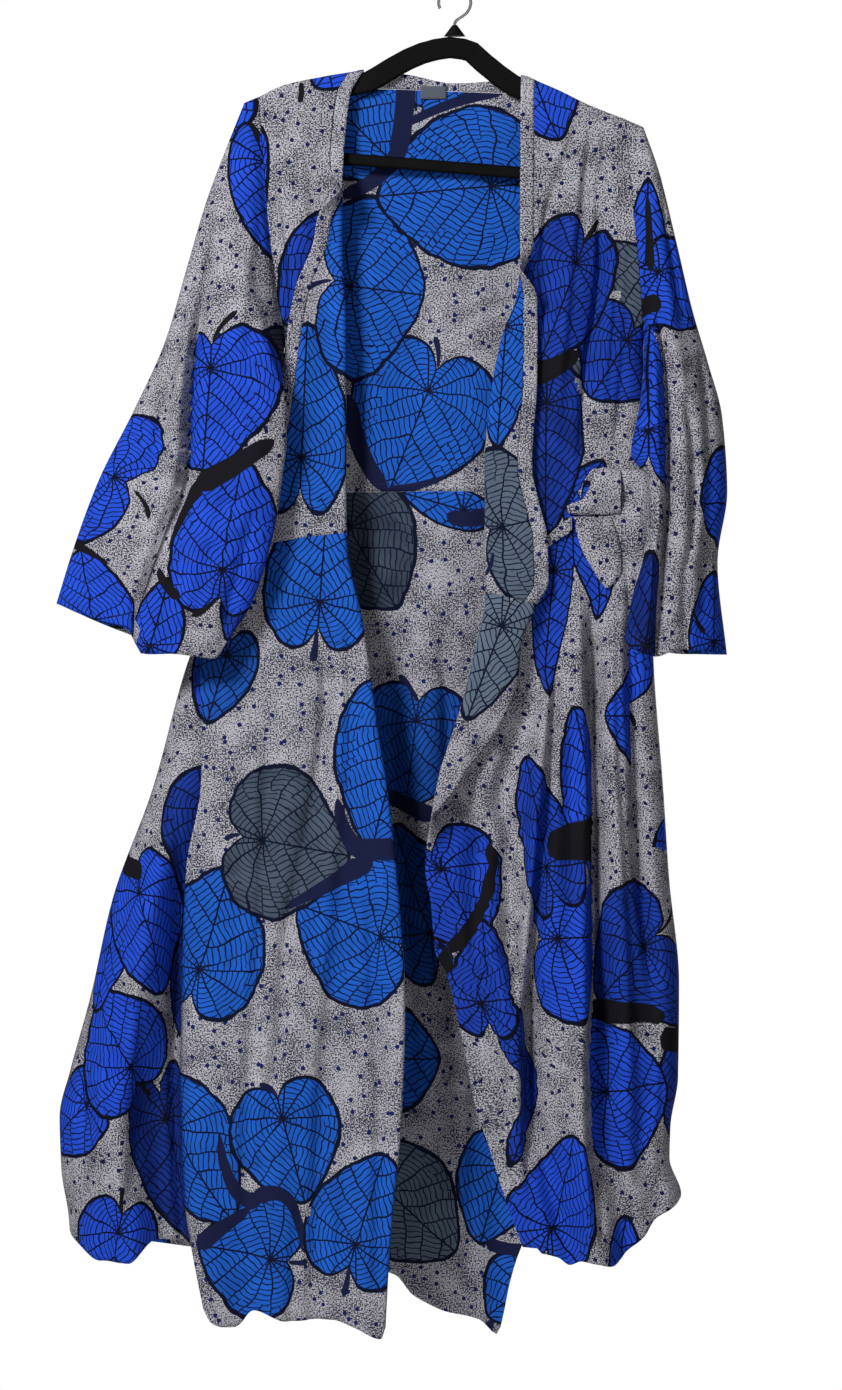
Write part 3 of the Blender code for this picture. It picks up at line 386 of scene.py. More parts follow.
# Radius of a leaf's outline about its middle, from its tip (0) round to its notch (1), for a
# leaf one long and one wide
LEAF_MIDDLE = 0.38
LEAF_OUTLINE = (
    (0, 0.62), (0.04, 0.6), (0.1, 0.55), (0.18, 0.5), (0.28, 0.475), (0.42, 0.485), (0.55, 0.515),
    (0.66, 0.55), (0.76, 0.575), (0.85, 0.57), (0.91, 0.53), (0.96, 0.45), (1, 0.36))


# How near a leaf or a stem a face's corner has to come for the face to show it, and the place
# and size that stand for none
LEAF_REACH = 0.09
STEM_REACH = 8.0
STEM_MARGIN, STEM_POINTS = 30.0, 28
FAR = (9.0, 9.0)
NO_LEAF = (0.16, 0.13, 0.0)

# Where the repeat lies on each piece. A front has one place for its outer face and one for
# what is turned over, first on its bodice and then on its skirt.
BACK_SHIFTS = {"bodice": (40, 130), "skirt": (210, 60)}
LEFT_SHIFTS = (((0, 60), (210, 0)), ((170, 20), (40, 250)))
RIGHT_SHIFTS = (((120, 200), (330, 90)), ((300, 40), (90, 330)))
SLEEVE_SHIFTS = {-1: (250, 310), 1: (20, 160)}


# Folds and creases, in pixels of the photo but for their depth in millimetres: troughs have a
# positive depth and ridges a negative one. A fold runs down the cloth through its rows, and a
# crease is a short one between two points.
def fold(*values):
    return rows("y x width depth", *values)


Crease = namedtuple("Crease", "x0 y0 x1 y1 width depth")
STEEP_FLANK, GENTLE_FLANK = 0.55, 1.3
BACK_LONG_FOLDS = (
    fold((300, 352, 9, 0), (400, 352, 9, 7), (560, 356, 10, 7), (640, 362, 10, 0)),
    fold((610, 440, 8, 0), (680, 444, 8, 5), (820, 450, 9, 8), (980, 452, 8, 5), (1060, 452, 8, 0)),
    fold((640, 384, 8, 0), (760, 388, 9, 7), (900, 404, 9, 9), (1080, 410, 9, 7), (1160, 410, 8, 0)),
    fold((1060, 470, 7, 0), (1120, 474, 8, 6), (1240, 468, 8, 6), (1330, 462, 7, 0)),
    fold((840, 240, 12, 0), (960, 238, 14, 12), (1180, 232, 14, 14), (1290, 230, 14, 8)),
    fold((620, 300, 10, 0), (760, 296, 12, -8), (1000, 290, 14, -12), (1260, 286, 14, -8)),
    fold((560, 560, 10, 0), (700, 564, 12, 9), (960, 570, 14, 14), (1220, 574, 14, 9)),
    fold((610, 612, 9, 0), (800, 618, 12, -8), (1020, 622, 13, -12), (1220, 622, 12, -6)),
    fold((130, 300, 7, 0), (240, 306, 8, 4), (400, 302, 8, 5), (470, 300, 7, 0)),
    fold((150, 590, 7, 0), (260, 584, 8, -4), (420, 588, 8, -5), (480, 590, 7, 0)))
BACK_CREASES = (
    Crease(418, 318, 506, 262, 4, 2.6), Crease(440, 336, 524, 292, 4, 2.6),
    Crease(412, 296, 470, 262, 4, -2.2), Crease(446, 312, 512, 290, 3.5, -2.4),
    Crease(470, 268, 524, 240, 4, 2.2), Crease(384, 470, 470, 452, 5, 2.4),
    Crease(402, 560, 460, 600, 5, 2.2), Crease(430, 1052, 476, 1090, 5, 3.2),
    Crease(428, 1108, 470, 1082, 5, -3), Crease(440, 1140, 492, 1110, 5, 3),
    Crease(458, 1168, 500, 1196, 5, 2.6), Crease(398, 640, 470, 664, 6, 2))
BACK_CREASED = (BACK_LONG_FOLDS, BACK_CREASES)
LEFT_LONG_FOLDS = (
    fold((100, 268, 5, 0), (150, 272, 5, 6), (230, 284, 5, 9), (330, 290, 5, 9), (420, 290, 5, 6),
         (470, 288, 5, 0)),
    fold((130, 298, 8, 0), (190, 303, 8, -3), (260, 308, 8, 0)),
    fold((640, 322, 6, 0), (700, 324, 6, 9), (760, 318, 7, 9), (860, 300, 8, 7), (930, 286, 8, 12),
         (1020, 280, 8, 11), (1120, 268, 8, 6), (1200, 262, 8, 0)),
    fold((600, 340, 8, 0), (720, 342, 9, -7), (900, 330, 10, -7), (1100, 312, 10, -9),
         (1280, 304, 10, -4)),
    fold((700, 262, 8, 0), (780, 258, 9, -6), (920, 252, 9, -8), (1100, 240, 9, -8), (1250, 236, 9, 0)),
    fold((860, 368, 7, 0), (980, 372, 8, 9), (1100, 378, 8, 10), (1240, 376, 8, 7), (1310, 374, 8, 0)),
    fold((1120, 338, 6, 0), (1180, 336, 7, -5), (1290, 330, 7, -5)),
    fold((1180, 300, 6, 0), (1230, 296, 6, 6), (1330, 290, 6, 5)),
    fold((800, 176, 5, 0), (880, 178, 6, 8), (940, 174, 7, 16), (1040, 172, 8, 20), (1160, 176, 8, 22),
         (1230, 182, 8, 16)),
    fold((930, 118, 7, 0), (1010, 112, 8, -9), (1120, 104, 8, -10), (1230, 100, 8, -5)),
    fold((960, 146, 6, 0), (1050, 142, 7, 7), (1160, 134, 7, 7), (1240, 128, 7, 3)),
    fold((1040, 88, 5, 0), (1100, 82, 6, 9), (1180, 82, 6, 7), (1230, 82, 6, 0)))
LEFT_CREASES = (
    Crease(282, 232, 340, 214, 5, 2), Crease(296, 420, 338, 444, 5, 2.4),
    Crease(284, 560, 336, 588, 5, 2.4), Crease(250, 742, 312, 716, 6, 2),
    Crease(330, 1020, 392, 1036, 5, 2.6), Crease(244, 1176, 300, 1150, 6, 2.6),
    Crease(232, 1290, 286, 1262, 6, 3), Crease(322, 1250, 378, 1226, 6, 2.6),
    Crease(110, 900, 150, 880, 6, 3))
RIGHT_LONG_FOLDS = (
    fold((118, 578, 4, 0), (142, 569, 5, 3), (180, 556, 5, 2), (215, 546, 6, 7), (300, 541, 6, 3),
         (360, 540, 6, 0)),
    fold((112, 604, 4, 0), (142, 604, 4, 3), (190, 598, 5, 2), (250, 600, 5, 10), (300, 596, 5, 9),
         (360, 586, 5, 8), (420, 582, 5, 8), (470, 580, 5, 0)),
    fold((118, 588, 5, 0), (160, 582, 6, -5), (230, 574, 7, -6), (320, 566, 7, -6), (400, 560, 7, -3),
         (480, 556, 7, 0)),
    fold((116, 620, 4, 0), (160, 622, 5, -5), (230, 616, 6, -6), (300, 612, 6, -6), (370, 606, 6, -3),
         (430, 600, 6, 0)),
    fold((126, 634, 4, 0), (180, 634, 4, 6), (250, 630, 5, 6), (330, 626, 5, 5), (400, 620, 5, 6),
         (460, 614, 5, 0)),
    fold((600, 590, 4, 0), (660, 592, 5, 12), (740, 593, 6.5, 17), (860, 594, 6.5, 19),
         (1000, 594, 6.5, 19),
         (1060, 590, 6.5, 17), (1130, 592, 6, 13), (1220, 598, 5, 8), (1250, 600, 5, 0)),
    fold((610, 621, 5, 0), (670, 621, 6, -7), (740, 624, 6, -9), (850, 627, 7, -9), (930, 635, 7, -5),
         (1020, 646, 7, 0)),
    fold((560, 630, 6, 0), (640, 630, 6, 12), (740, 633, 7, 16), (850, 637, 8, 16), (930, 646, 9, 12),
         (1020, 656, 8, 0)),
    fold((600, 612, 6, 0), (700, 612, 7, -9), (850, 618, 8, -11), (1000, 626, 10, -9),
         (1140, 630, 10, -6), (1200, 630, 9, 0)),
    fold((640, 562, 5, 0), (700, 554, 5, 12), (800, 546, 5.5, 15), (880, 538, 5.5, 16),
         (960, 532, 5.5, 18),
         (1040, 528, 6, 18), (1120, 526, 6, 14), (1200, 530, 5, 0)),
    fold((600, 580, 5, 0), (660, 582, 7, -12), (740, 583, 8, -22), (860, 584, 9, -27),
         (1000, 584, 9, -27),
         (1060, 581, 8, -22), (1130, 582, 7, -14), (1220, 587, 6, -5), (1250, 588, 6, 0)),
    fold((650, 552, 5, 0), (720, 544, 6, -9), (800, 537, 6, -12), (880, 529, 6, -13), (960, 523, 6, -14),
         (1040, 519, 6, -13), (1120, 518, 6, -8), (1200, 522, 5, 0)),
    fold((760, 522, 5, 0), (840, 524, 5, 6), (900, 522, 5, 7), (960, 516, 5, 5), (1010, 512, 5, 0)),
    fold((1040, 664, 5, 0), (1090, 662, 6, 8), (1160, 660, 6, 7), (1210, 660, 6, 0)))
RIGHT_CREASES = (
    Crease(540, 400, 572, 372, 5, 2.5), Crease(536, 470, 570, 452, 5, 2.5),
    Crease(588, 412, 612, 446, 5, 3), Crease(556, 1086, 588, 1072, 5, 3),
    Crease(548, 1150, 590, 1182, 5, 3), Crease(604, 1150, 650, 1128, 6, 3),
    Crease(540, 1226, 590, 1206, 6, 3), Crease(614, 1196, 662, 1174, 6, 3))
LEFT_SLEEVE_LONG_FOLDS = (
    fold((190, 222, 5, 0), (230, 215, 6, 6), (273, 207, 7, 10), (314, 200, 6, 12), (355, 193, 6, 16),
         (400, 190, 6, 18),
         (456, 188, 6, 19), (493, 183, 6, 17), (530, 167, 6, 14), (560, 158, 6, 13), (611, 140, 6, 14),
         (660, 137, 6, 14)),
    fold((250, 196, 5, 0), (300, 186, 5, 5), (360, 174, 5, 7), (430, 160, 6, 6), (480, 152, 6, 0)),
    fold((290, 192, 5, 0), (340, 188, 6, -9), (400, 181, 7, -13), (456, 179, 7, -14),
         (500, 172, 7, -10), (560, 150, 7, -5),
         (620, 132, 6, 0)),
    fold((150, 262, 5, 0), (200, 258, 6, -5), (260, 250, 7, -5), (330, 244, 8, -6), (400, 240, 8, 0)),
    fold((470, 228, 6, 0), (520, 214, 7, -5), (580, 196, 7, -6), (640, 186, 7, -4)),
    fold((500, 258, 5, 0), (550, 246, 6, 6), (610, 230, 6, 8), (650, 226, 6, 5)))
LEFT_SLEEVE_CREASES = (
    Crease(222, 430, 280, 388, 4.5, 4), Crease(216, 446, 268, 424, 4, -3.5),
    Crease(204, 400, 244, 372, 4.5, 3), Crease(236, 376, 282, 352, 4.5, -3),
    Crease(196, 520, 262, 500, 4.5, 3.5), Crease(190, 556, 250, 528, 4.5, -3.5),
    Crease(200, 588, 262, 560, 5, 3.5), Crease(236, 262, 280, 290, 5, 3),
    Crease(100, 540, 150, 520, 5, 3), Crease(90, 590, 142, 568, 5, 3))
RIGHT_SLEEVE_LONG_FOLDS = (
    fold((300, 652, 4, 0), (340, 659, 4, 12), (380, 662, 4, 18), (440, 664, 4, 22), (500, 664, 4, 22),
         (560, 659, 4.5, 20),
         (610, 655, 5, 16), (660, 652, 5, 12)),
    fold((180, 662, 4, 0), (220, 666, 5, 5), (280, 674, 5, 6), (340, 682, 5, 0)),
    fold((340, 676, 6, 0), (400, 680, 6, -6), (480, 682, 7, -6), (560, 680, 7, -5), (640, 676, 7, 0)),
    fold((330, 698, 5, 0), (400, 702, 5, 7), (480, 704, 6, 8), (560, 700, 6, 7), (640, 694, 6, 3)),
    fold((300, 644, 5, 0), (350, 650, 6, -7), (400, 653, 6, -9), (500, 654, 6, -9), (560, 649, 6, -8),
         (610, 645, 6, -6),
         (660, 642, 6, -3)))
RIGHT_SLEEVE_CREASES = (
    Crease(668, 330, 694, 312, 4, 3), Crease(672, 372, 706, 350, 4.5, -3),
    Crease(674, 402, 716, 392, 4.5, 3), Crease(672, 470, 712, 458, 5, 2.6),
    Crease(670, 560, 716, 584, 5, 3), Crease(664, 626, 712, 612, 5, 3))

# What each shell was cut to: metres across and down, and its area in square metres, or None
# where it is the one times the other
Cut = namedtuple("Cut", "width length area rests_on")
SHOULDERS = ("hanger_arms",)
CUTS = {
    "back_bodice": Cut(0.47, 0.48, 0.19, SHOULDERS),
    "back_skirt": Cut(0.74, 0.95, 0.55, ()),
    "back_neck_band": Cut(0.18, 0.014, None, ()),
    "left_front_bodice": Cut(0.15, 0.53, 0.064, SHOULDERS),
    "left_front_skirt": Cut(0.62, 0.89, 0.46, ()),
    "left_front_band": Cut(0.016, 0.54, None, ()),
    "right_front_bodice": Cut(0.22, 0.59, 0.084, SHOULDERS),
    "right_front_skirt": Cut(0.33, 0.87, 0.235, ()),
    "right_front_band": Cut(0.016, 0.58, None, ()),
    "left_sleeve": Cut(0.56, 0.62, 0.185, ()),
    "right_sleeve": Cut(0.50, 0.60, 0.117, ()),
    "tie_short_tail": Cut(0.045, 0.08, 0.003, ()),
    "tie_long_tail": Cut(0.042, 0.15, 0.0053, ()),
    "tie_knot": Cut(0.06, 0.055, 0.0025, ()),
    "tie_band": Cut(0.035, 0.016, None, ()),
    "neck_label": Cut(0.029, 0.014, None, ()),
}
SLOTS = {node: "print_cotton" for node in CUTS}
SLOTS.update({node: "band_cotton" for node in CUTS if node.endswith("_band")})
SLOTS.update({node: "tie_cotton" for node in CUTS if node.startswith("tie_")})
SLOTS["neck_label"] = "label_tape"

# The studio: metres, watts, and the photo's middle as the point looked at
LOOK_AT = (-0.0374, -0.03, -0.7843)
CAMERA_DISTANCE = 3.5
SENSOR = 36.0
FOCAL_LENGTH = 82.4
FLOOR_Z = -2.55
LIGHTS = (
    ("key", (-1.8, -2.8, 1.2), (0.8, 0.8), 142),
    ("fill", (0.9, -3.2, -0.6), (1.4, 1.4), 9),
    ("behind", (0.6, 2.4, 0.2), (2.4, 2.4), 60))
SURROUND_SEEN, SURROUND_LIGHT = 1.0, 0.13
FLOOR_HALF = 4.0


def curve(table, column, at, key="drop"):
    """A table's column at each place, on a curve that never swings past its rows."""
    keys, values = table[key], table[column]
    at = np.asarray(at, float)
    steps = np.diff(keys)
    slopes = np.diff(values) / steps
    before, after = slopes[:-1], slopes[1:]
    same_way = before * after > 0
    inner = np.where(same_way, 2 * before * after / np.where(same_way, before + after, 1), 0)
    tangents = np.concatenate([slopes[:1], inner, slopes[-1:]])
    i = np.clip(np.searchsorted(keys, at) - 1, 0, len(keys) - 2)
    t = np.clip((at - keys[i]) / steps[i], 0, 1)
    t2, t3 = t * t, t * t * t
    return ((2 * t3 - 3 * t2 + 1) * values[i] + (t3 - 2 * t2 + t) * steps[i] * tangents[i]
            + (3 * t2 - 2 * t3) * values[i + 1] + (t3 - t2) * steps[i] * tangents[i + 1])


def ease(t):
    t = np.clip(t, 0, 1)
    return t * t * (3 - 2 * t)


def blend(a, b, t):
    return a + (b - a) * t


def body_depth(column, drop, inward, closed):
    """Distance from the plane of the side seams, "inward" from a side."""
    missing = 1 - np.clip(inward / curve(DEPTH, "side", drop), 0, 1)
    return curve(DEPTH, column, drop) * blend(1.0, np.sqrt(1 - missing * missing), closed)


def armhole_closing(side, drop):
    """0 at an armhole, turning to 1 where the side seam starts."""
    t = np.clip((drop - (UNDERARM[side] - CLOSING_LENGTH)) / CLOSING_LENGTH, 0, 1)
    return 1 - np.sqrt(1 - t * t)


def fold_depth(folds, place, drop, panel):
    """Depth of the folds at a place across a panel that is "panel" wide there."""
    total = 0.0
    for fold in folds:
        t = (drop - fold.top_drop) / (fold.foot_drop - fold.top_drop)
        across = (place - blend(fold.top, fold.foot, np.clip(t, 0, 1))) * panel / fold.width
        fade = ease(t * 3) * (1 if fold.foot_drop > LONG_FOLD_FOOT else 1 - ease((t - 0.7) / 0.3))
        total = total + fold.depth * fade * np.exp(-across * across)
    return total


def over_shoulder(down):
    """Height lost and distance out from the hanger's centre after going "down" the cloth
    from the shoulder seam."""
    angle = np.clip(down / SHOULDER_BEND, 0, HALF_TURN)
    beyond = np.maximum(down - BEND_LENGTH, 0)
    return SHOULDER_BEND * (1 - np.cos(angle)) + beyond, SHOULDER_BEND * np.sin(angle)


def settling(down):
    """How far cloth that leaves the shoulder has come to its hanging depth, 0 to 1."""
    return 1 - np.exp(-np.maximum(down - BEND_LENGTH, 0) / SETTLING_LENGTH)


def front_surface(side, edge, folds, flap_folds, along, drop):
    """Points of a front. "along" is 0 at the side, 1 where the roll starts, ROLL_END where
    it ends, BAND_START where the band is sewn on and 2 at the free edge."""
    flap = curve(edge, "flap", drop)
    angle = np.maximum(curve(edge, "turn", drop), 0.001) * math.pi
    bend = angle / ROLL_LENGTH
    extent = np.where(angle < HALF_TURN, np.sin(angle) / bend + flap * np.cos(angle), 1 / bend)
    seam_x = curve(SIDE[side], "x", drop)
    inward = -side
    roll_x = curve(edge, "reach", drop) - inward * extent
    band = np.minimum(BAND_WIDTH, flap * 0.85)
    to_band = (flap - band) * np.maximum((along - ROLL_END) / (BAND_START - ROLL_END), 0)
    beyond = np.where(along <= BAND_START, to_band, flap - band * (2 - along) / (2 - BAND_START))
    swung = bend * ROLL_LENGTH * np.clip((along - 1) / (ROLL_END - 1), 0, 1)
    turned_x = roll_x + inward * (np.sin(swung) / bend + beyond * np.cos(swung))
    x = np.where(along <= 1, blend(seam_x, roll_x, np.minimum(along, 1)), turned_x)
    forward = np.where(along <= 1, 0, (1 - np.cos(swung)) / bend + beyond * np.sin(swung))
    base_x = np.where((x - roll_x) * inward > 0, roll_x, x)
    from_seam = np.abs(base_x - seam_x)
    depth = body_depth("front", drop, from_seam, armhole_closing(side, drop))
    panel = np.abs(roll_x - seam_x)
    y = (fold_depth(folds, from_seam / panel, drop, panel) * np.minimum(from_seam / FOLD_FADE, 1)
         - np.maximum(depth, HALF_SEAM) - forward)
    on_flap = fold_depth(flap_folds, np.abs(x - seam_x) / panel, drop, panel)
    return x, y + np.where(along > 1, on_flap * ease((along - 1) / 0.4), 0), drop


def bodice_surface(side, edge, folds, along, top_x, down):
    """Points of a front bodice, "down" the cloth from the shoulder seam."""
    lost, out = over_shoulder(down)
    drop = curve(SHOULDER, "drop", top_x, "x") + lost
    x, y, drop = front_surface(side, edge, folds, (), along, drop)
    return x, -out + (y + SHOULDER_BEND) * settling(down), drop


def back_surface(part, drop, down=None):
    """Points of the back, "part" of the way from its left side seam to its right one."""
    left, right = curve(SIDE[-1], "x", drop), curve(SIDE[1], "x", drop)
    x = blend(left, right, part)
    nearer_left = x - left < right - x
    inward = np.where(nearer_left, x - left, right - x)
    closed = np.where(nearer_left, armhole_closing(-1, drop), armhole_closing(1, drop))
    depth = np.maximum(body_depth("back", drop, inward, closed), HALF_SEAM)
    panel = right - left
    y = depth + fold_depth(BACK_FOLDS, part, drop, panel) * np.minimum(inward / FOLD_FADE, 1)
    if down is not None:
        y = over_shoulder(down)[1] + (y - SHOULDER_BEND) * settling(down)
    return x, y, drop


def right_front_depth(x, drop):
    """Where the right front's cloth stands at x, or where it starts to curve back."""
    seam_x = curve(SIDE[1], "x", drop)
    roll_x = front_surface(1, RIGHT_EDGE, (), (), np.ones_like(drop), drop)[0]
    along = (seam_x - np.minimum(x, seam_x - TIE_FROM_SEAM)) / (seam_x - roll_x)
    return front_surface(1, RIGHT_EDGE, RIGHT_FOLDS, (), along, drop)[1]


def tie_surface(x, drop, bulge):
    """Points of cloth that rests on the folds of the right front."""
    rest = np.min([right_front_depth(x + step, drop) for step in (-TIE_REST, 0, TIE_REST)], axis=0)
    return x, rest - TIE_LIFT - bulge, drop


def armhole(side, sign, part):
    """Points of the armhole's loop on the front (sign -1) or the back (sign 1), from the
    shoulder (part 0) to the underarm (part 1)."""
    corner = curve(SIDE[side], "x", SHOULDER_CORNER[side])
    top = curve(SHOULDER, "drop", corner, "x")
    lost = part * (UNDERARM[side] - top)
    curved = SHOULDER_BEND * np.arccos(np.clip(1 - lost / SHOULDER_BEND, -1, 1))
    down = np.where(lost < SHOULDER_BEND, curved, lost - SHOULDER_BEND + BEND_LENGTH)
    drop = top + lost
    x = curve(SIDE[side], "x", drop)
    depth = curve(DEPTH, "front" if sign < 0 else "back", drop)
    depth = depth * (1 - armhole_closing(side, drop))
    y = sign * (over_shoulder(down)[1] + (depth - SHOULDER_BEND) * settling(down))
    return x + side * 0.3, np.where(part > 0.999, 0, y), drop


def place(x, y):
    """A pixel of the photo as (x, drop) in millimetres."""
    return (x - PIXEL_ORIGIN[0]) * PIXEL, (y - PIXEL_ORIGIN[1]) * PIXEL


def pixel(x, drop):
    """The pixel of the photo at an x and a drop."""
    return x / PIXEL + PIXEL_ORIGIN[0], drop / PIXEL + PIXEL_ORIGIN[1]


def length_along(axis, *grids):
    """How far each point lies down its column (axis 0) or along its row (axis 1)."""
    steps = np.sqrt(sum(np.diff(grid, axis=axis) ** 2 for grid in grids))
    start = np.zeros_like(np.take(steps, [0], axis=axis))
    return np.concatenate([start, np.cumsum(steps, axis=axis)], axis=axis)


def lie_flat(x, y, drop, middle, sign):
    """Where the points would be with the cloth laid flat about its middle column. Across, it
    goes by the length along the cloth. "sign" is 1 where x grows along the columns."""
    across = length_along(1, x, y)
    across -= across[:, middle:middle + 1]
    return np.stack([x[:, middle:middle + 1] + sign * across, drop], axis=-1)


def lie_flat_ring(x, y, drop, middle, ends):
    """The same for half a sleeve, whose rings lie slanted between their two ends."""
    across = length_along(1, x, y, drop)
    across -= across[:, middle:middle + 1]
    first, last = ends
    run, fall = x[:, last] - x[:, first], drop[:, last] - drop[:, first]
    length = np.hypot(run, fall) + 1e-6
    return np.stack([x[:, middle:middle + 1] + across * (run / length)[:, None],
                     drop[:, middle:middle + 1] + across * (fall / length)[:, None]], axis=-1)


def seat(flat, x, drop, columns, spot):
    """Where a place of the photo lies on the flat cloth, among some of its columns."""
    across, down = place(*spot)
    near_x, near_drop = x[:, columns], drop[:, columns]
    nearest = np.argmin((near_x - across) ** 2 + (near_drop - down) ** 2)
    row, column = np.unravel_index(nearest, near_x.shape)
    offset = (across - near_x[row, column], down - near_drop[row, column])
    return flat[:, columns][row, column] + np.array(offset)


def seated_leaves(flat, x, drop, columns, leaves):
    """Leaves as rows of notch, unit direction to the tip, length, width and tone."""
    seated = []
    for leaf in leaves:
        notch = seat(flat, x, drop, columns, (leaf.notch_x, leaf.notch_y))
        tip = seat(flat, x, drop, columns, (leaf.tip_x, leaf.tip_y))
        length = float(np.hypot(*(tip - notch)))
        seated.append((notch, (tip - notch) / length, length, leaf.width * PIXEL, leaf.tone))
    return seated


def seated_stems(flat, x, drop, columns, stems):
    seated = []
    for stem in stems:
        spots = ((stem.x0, stem.y0), (stem.bend_x, stem.bend_y), (stem.x1, stem.y1))
        points = [seat(flat, x, drop, columns, spot) for spot in spots]
        seated.append((points, stem.width0 * PIXEL, stem.width1 * PIXEL))
    return seated


def beside(direction):
    """The direction a quarter turn round from a unit direction."""
    return np.array([direction[1], -direction[0]])


def repeated(low, high, shift, leaves, stems):
    """Leaves and stems of the charted repeat that lie clear of those already seated."""
    taken = [(notch + direction * length * LEAF_CENTRE, max(length, width) * 0.5)
             for notch, direction, length, width, tone in leaves]
    taken += [(points[1], STEM_ROOM) for points, *widths in stems]
    more_leaves, more_stems = [], []
    first = [math.floor((low[i] - shift[i]) / REPEAT[i]) - 1 for i in (0, 1)]
    last = [math.ceil((high[i] - shift[i]) / REPEAT[i]) + 1 for i in (0, 1)]
    for column in range(first[0], last[0]):
        for row in range(first[1], last[1]):
            corner = np.array([shift[0] + column * REPEAT[0], shift[1] + row * REPEAT[1]])
            for leaf in REPEAT_LEAVES:
                middle = corner + (leaf.x, leaf.y)
                if any(np.hypot(*(middle - spot)) < radius + LEAF_ROOM for spot, radius in taken):
                    continue
                angle = math.radians(leaf.heading)
                direction = np.array([math.sin(angle), math.cos(angle)])
                notch = middle - direction * leaf.length * LEAF_CENTRE
                more_leaves.append((notch, direction, leaf.length, leaf.width, leaf.tone))
                stalk = [notch, notch - direction * STALK_BEND,
                         notch - direction * STALK_END + beside(direction) * STALK_ASIDE]
                more_stems.append((stalk, *STALK_WIDTHS))
            for stem in REPEAT_STEMS:
                points = [corner + (stem.x0, stem.y0), corner + (stem.bend_x, stem.bend_y),
                          corner + (stem.x1, stem.y1)]
                if not any(np.hypot(*(points[1] - spot)) < radius + STEM_ROOM for spot, radius in taken):
                    more_stems.append((points, stem.width0, stem.width1))
    return more_leaves, more_stems


def leaf_radius(turn):
    angles, radii = zip(*LEAF_OUTLINE)
    return np.interp(turn, angles, radii)


def leaf_places(corners, leaves):
    """For each face, the first two leaves that it touches: where its corners lie on each, and
    each leaf's width, length and tone."""
    count = len(corners)
    found = np.zeros(count, int)
    places = [np.full((count, 4, 2), FAR) for layer in range(2)]
    sizes = [np.tile(NO_LEAF, (count, 4, 1)) for layer in range(2)]
    for notch, direction, length, width, tone in leaves:
        away = corners - notch
        local = np.stack([away @ beside(direction) / width, away @ direction / length], axis=-1)
        side, along = np.abs(local[..., 0]), local[..., 1] - LEAF_MIDDLE
        radius = leaf_radius(np.arctan2(side, along) / math.pi)
        inside = (np.hypot(side, along) < radius + LEAF_REACH).any(axis=1)
        for layer in (0, 1):
            chosen = inside & (found == layer)
            places[layer][chosen] = local[chosen]
            sizes[layer][chosen] = (width * MM, length * MM, tone)
        found[inside] += 1
    return places, sizes


def stem_places(corners, stems):
    """For each face, where its corners lie on the two nearest stems: across in half widths,
    and along from 0 to 1."""
    places = [np.full((len(corners), 4, 2), FAR) for layer in range(2)]
    best = [np.full(len(corners), STEM_REACH) for layer in range(2)]
    steps = np.linspace(0, 1, STEM_POINTS)
    for (start, bend, end), width0, width1 in stems:
        path = np.array([(1 - t) ** 2 * start + 2 * t * (1 - t) * bend + t * t * end for t in steps])
        low, high = path.min(axis=0) - STEM_MARGIN, path.max(axis=0) + STEM_MARGIN
        near = ((corners[:, 0] > low) & (corners[:, 0] < high)).all(axis=1)
        if not near.any():
            continue
        away = corners[near][:, :, None, :] - path
        squared = (away ** 2).sum(axis=-1)
        nearest = squared.argmin(axis=-1)
        tangents = np.gradient(path, axis=0)
        tangents /= np.linalg.norm(tangents, axis=1, keepdims=True)
        here = tangents[nearest]
        offset = np.take_along_axis(away, nearest[..., None, None], axis=2)[..., 0, :]
        across = offset[..., 0] * here[..., 1] - offset[..., 1] * here[..., 0]
        step_length = np.linalg.norm(path[-1] - path[0]) / (len(steps) - 1) + 1e-6
        beyond = (offset * here).sum(axis=-1) / step_length * (steps[1] - steps[0])
        along = steps[nearest] + beyond
        half = blend(width0, width1, np.clip(along, 0, 1)) / 2
        local = np.stack([across / half, along], axis=-1)
        reach = np.maximum(np.abs(across) - half, (np.abs(along - 0.5) - 0.5) * step_length * len(steps))
        reach = reach.min(axis=1)
        index = np.flatnonzero(near)
        first = reach < best[0][index]
        second = ~first & (reach < best[1][index])
        moved = index[first]
        places[1][moved], best[1][moved] = places[0][moved], best[0][moved]
        for layer, chosen in ((0, first), (1, second)):
            places[layer][index[chosen]] = local[chosen]
            best[layer][index[chosen]] = reach[chosen]
    return places


# A region of a panel: the faces that are in it, where its points would lie on flat cloth, the
# leaves and stems seated on it, and the repeat's shift, or None where nothing is repeated
Region = namedtuple("Region", "faces flat leaves stems shift")


def fold_and_crease_depth(folds, creases, x, drop):
    """How far back the cloth is pushed by its long folds and its short creases. A trough has
    its steep side on the left and a ridge on the right, as the cloth leans over that way."""
    total = np.zeros_like(x)
    across, level = pixel(x, drop)
    for path in folds:
        aside = (across - curve(path, "x", level, "y")) / curve(path, "width", level, "y")
        depth = curve(path, "depth", level, "y")
        aside /= np.where(aside * depth < 0, STEEP_FLANK, GENTLE_FLANK)
        total += depth * np.exp(-aside * aside)
    for crease in creases:
        run, fall = crease.x1 - crease.x0, crease.y1 - crease.y0
        length = math.hypot(run, fall)
        along = ((across - crease.x0) * run + (level - crease.y0) * fall) / length ** 2
        aside = ((across - crease.x0) * fall - (level - crease.y0) * run) / length
        inside = np.clip(along, 0, 1)
        bowed = aside - CREASE_BOW * length * np.sin(math.pi * inside)
        fade = np.sin(math.pi * inside) ** CREASE_FADE
        total += crease.depth * fade * np.exp(-(bowed / crease.width) ** 2)
    return total


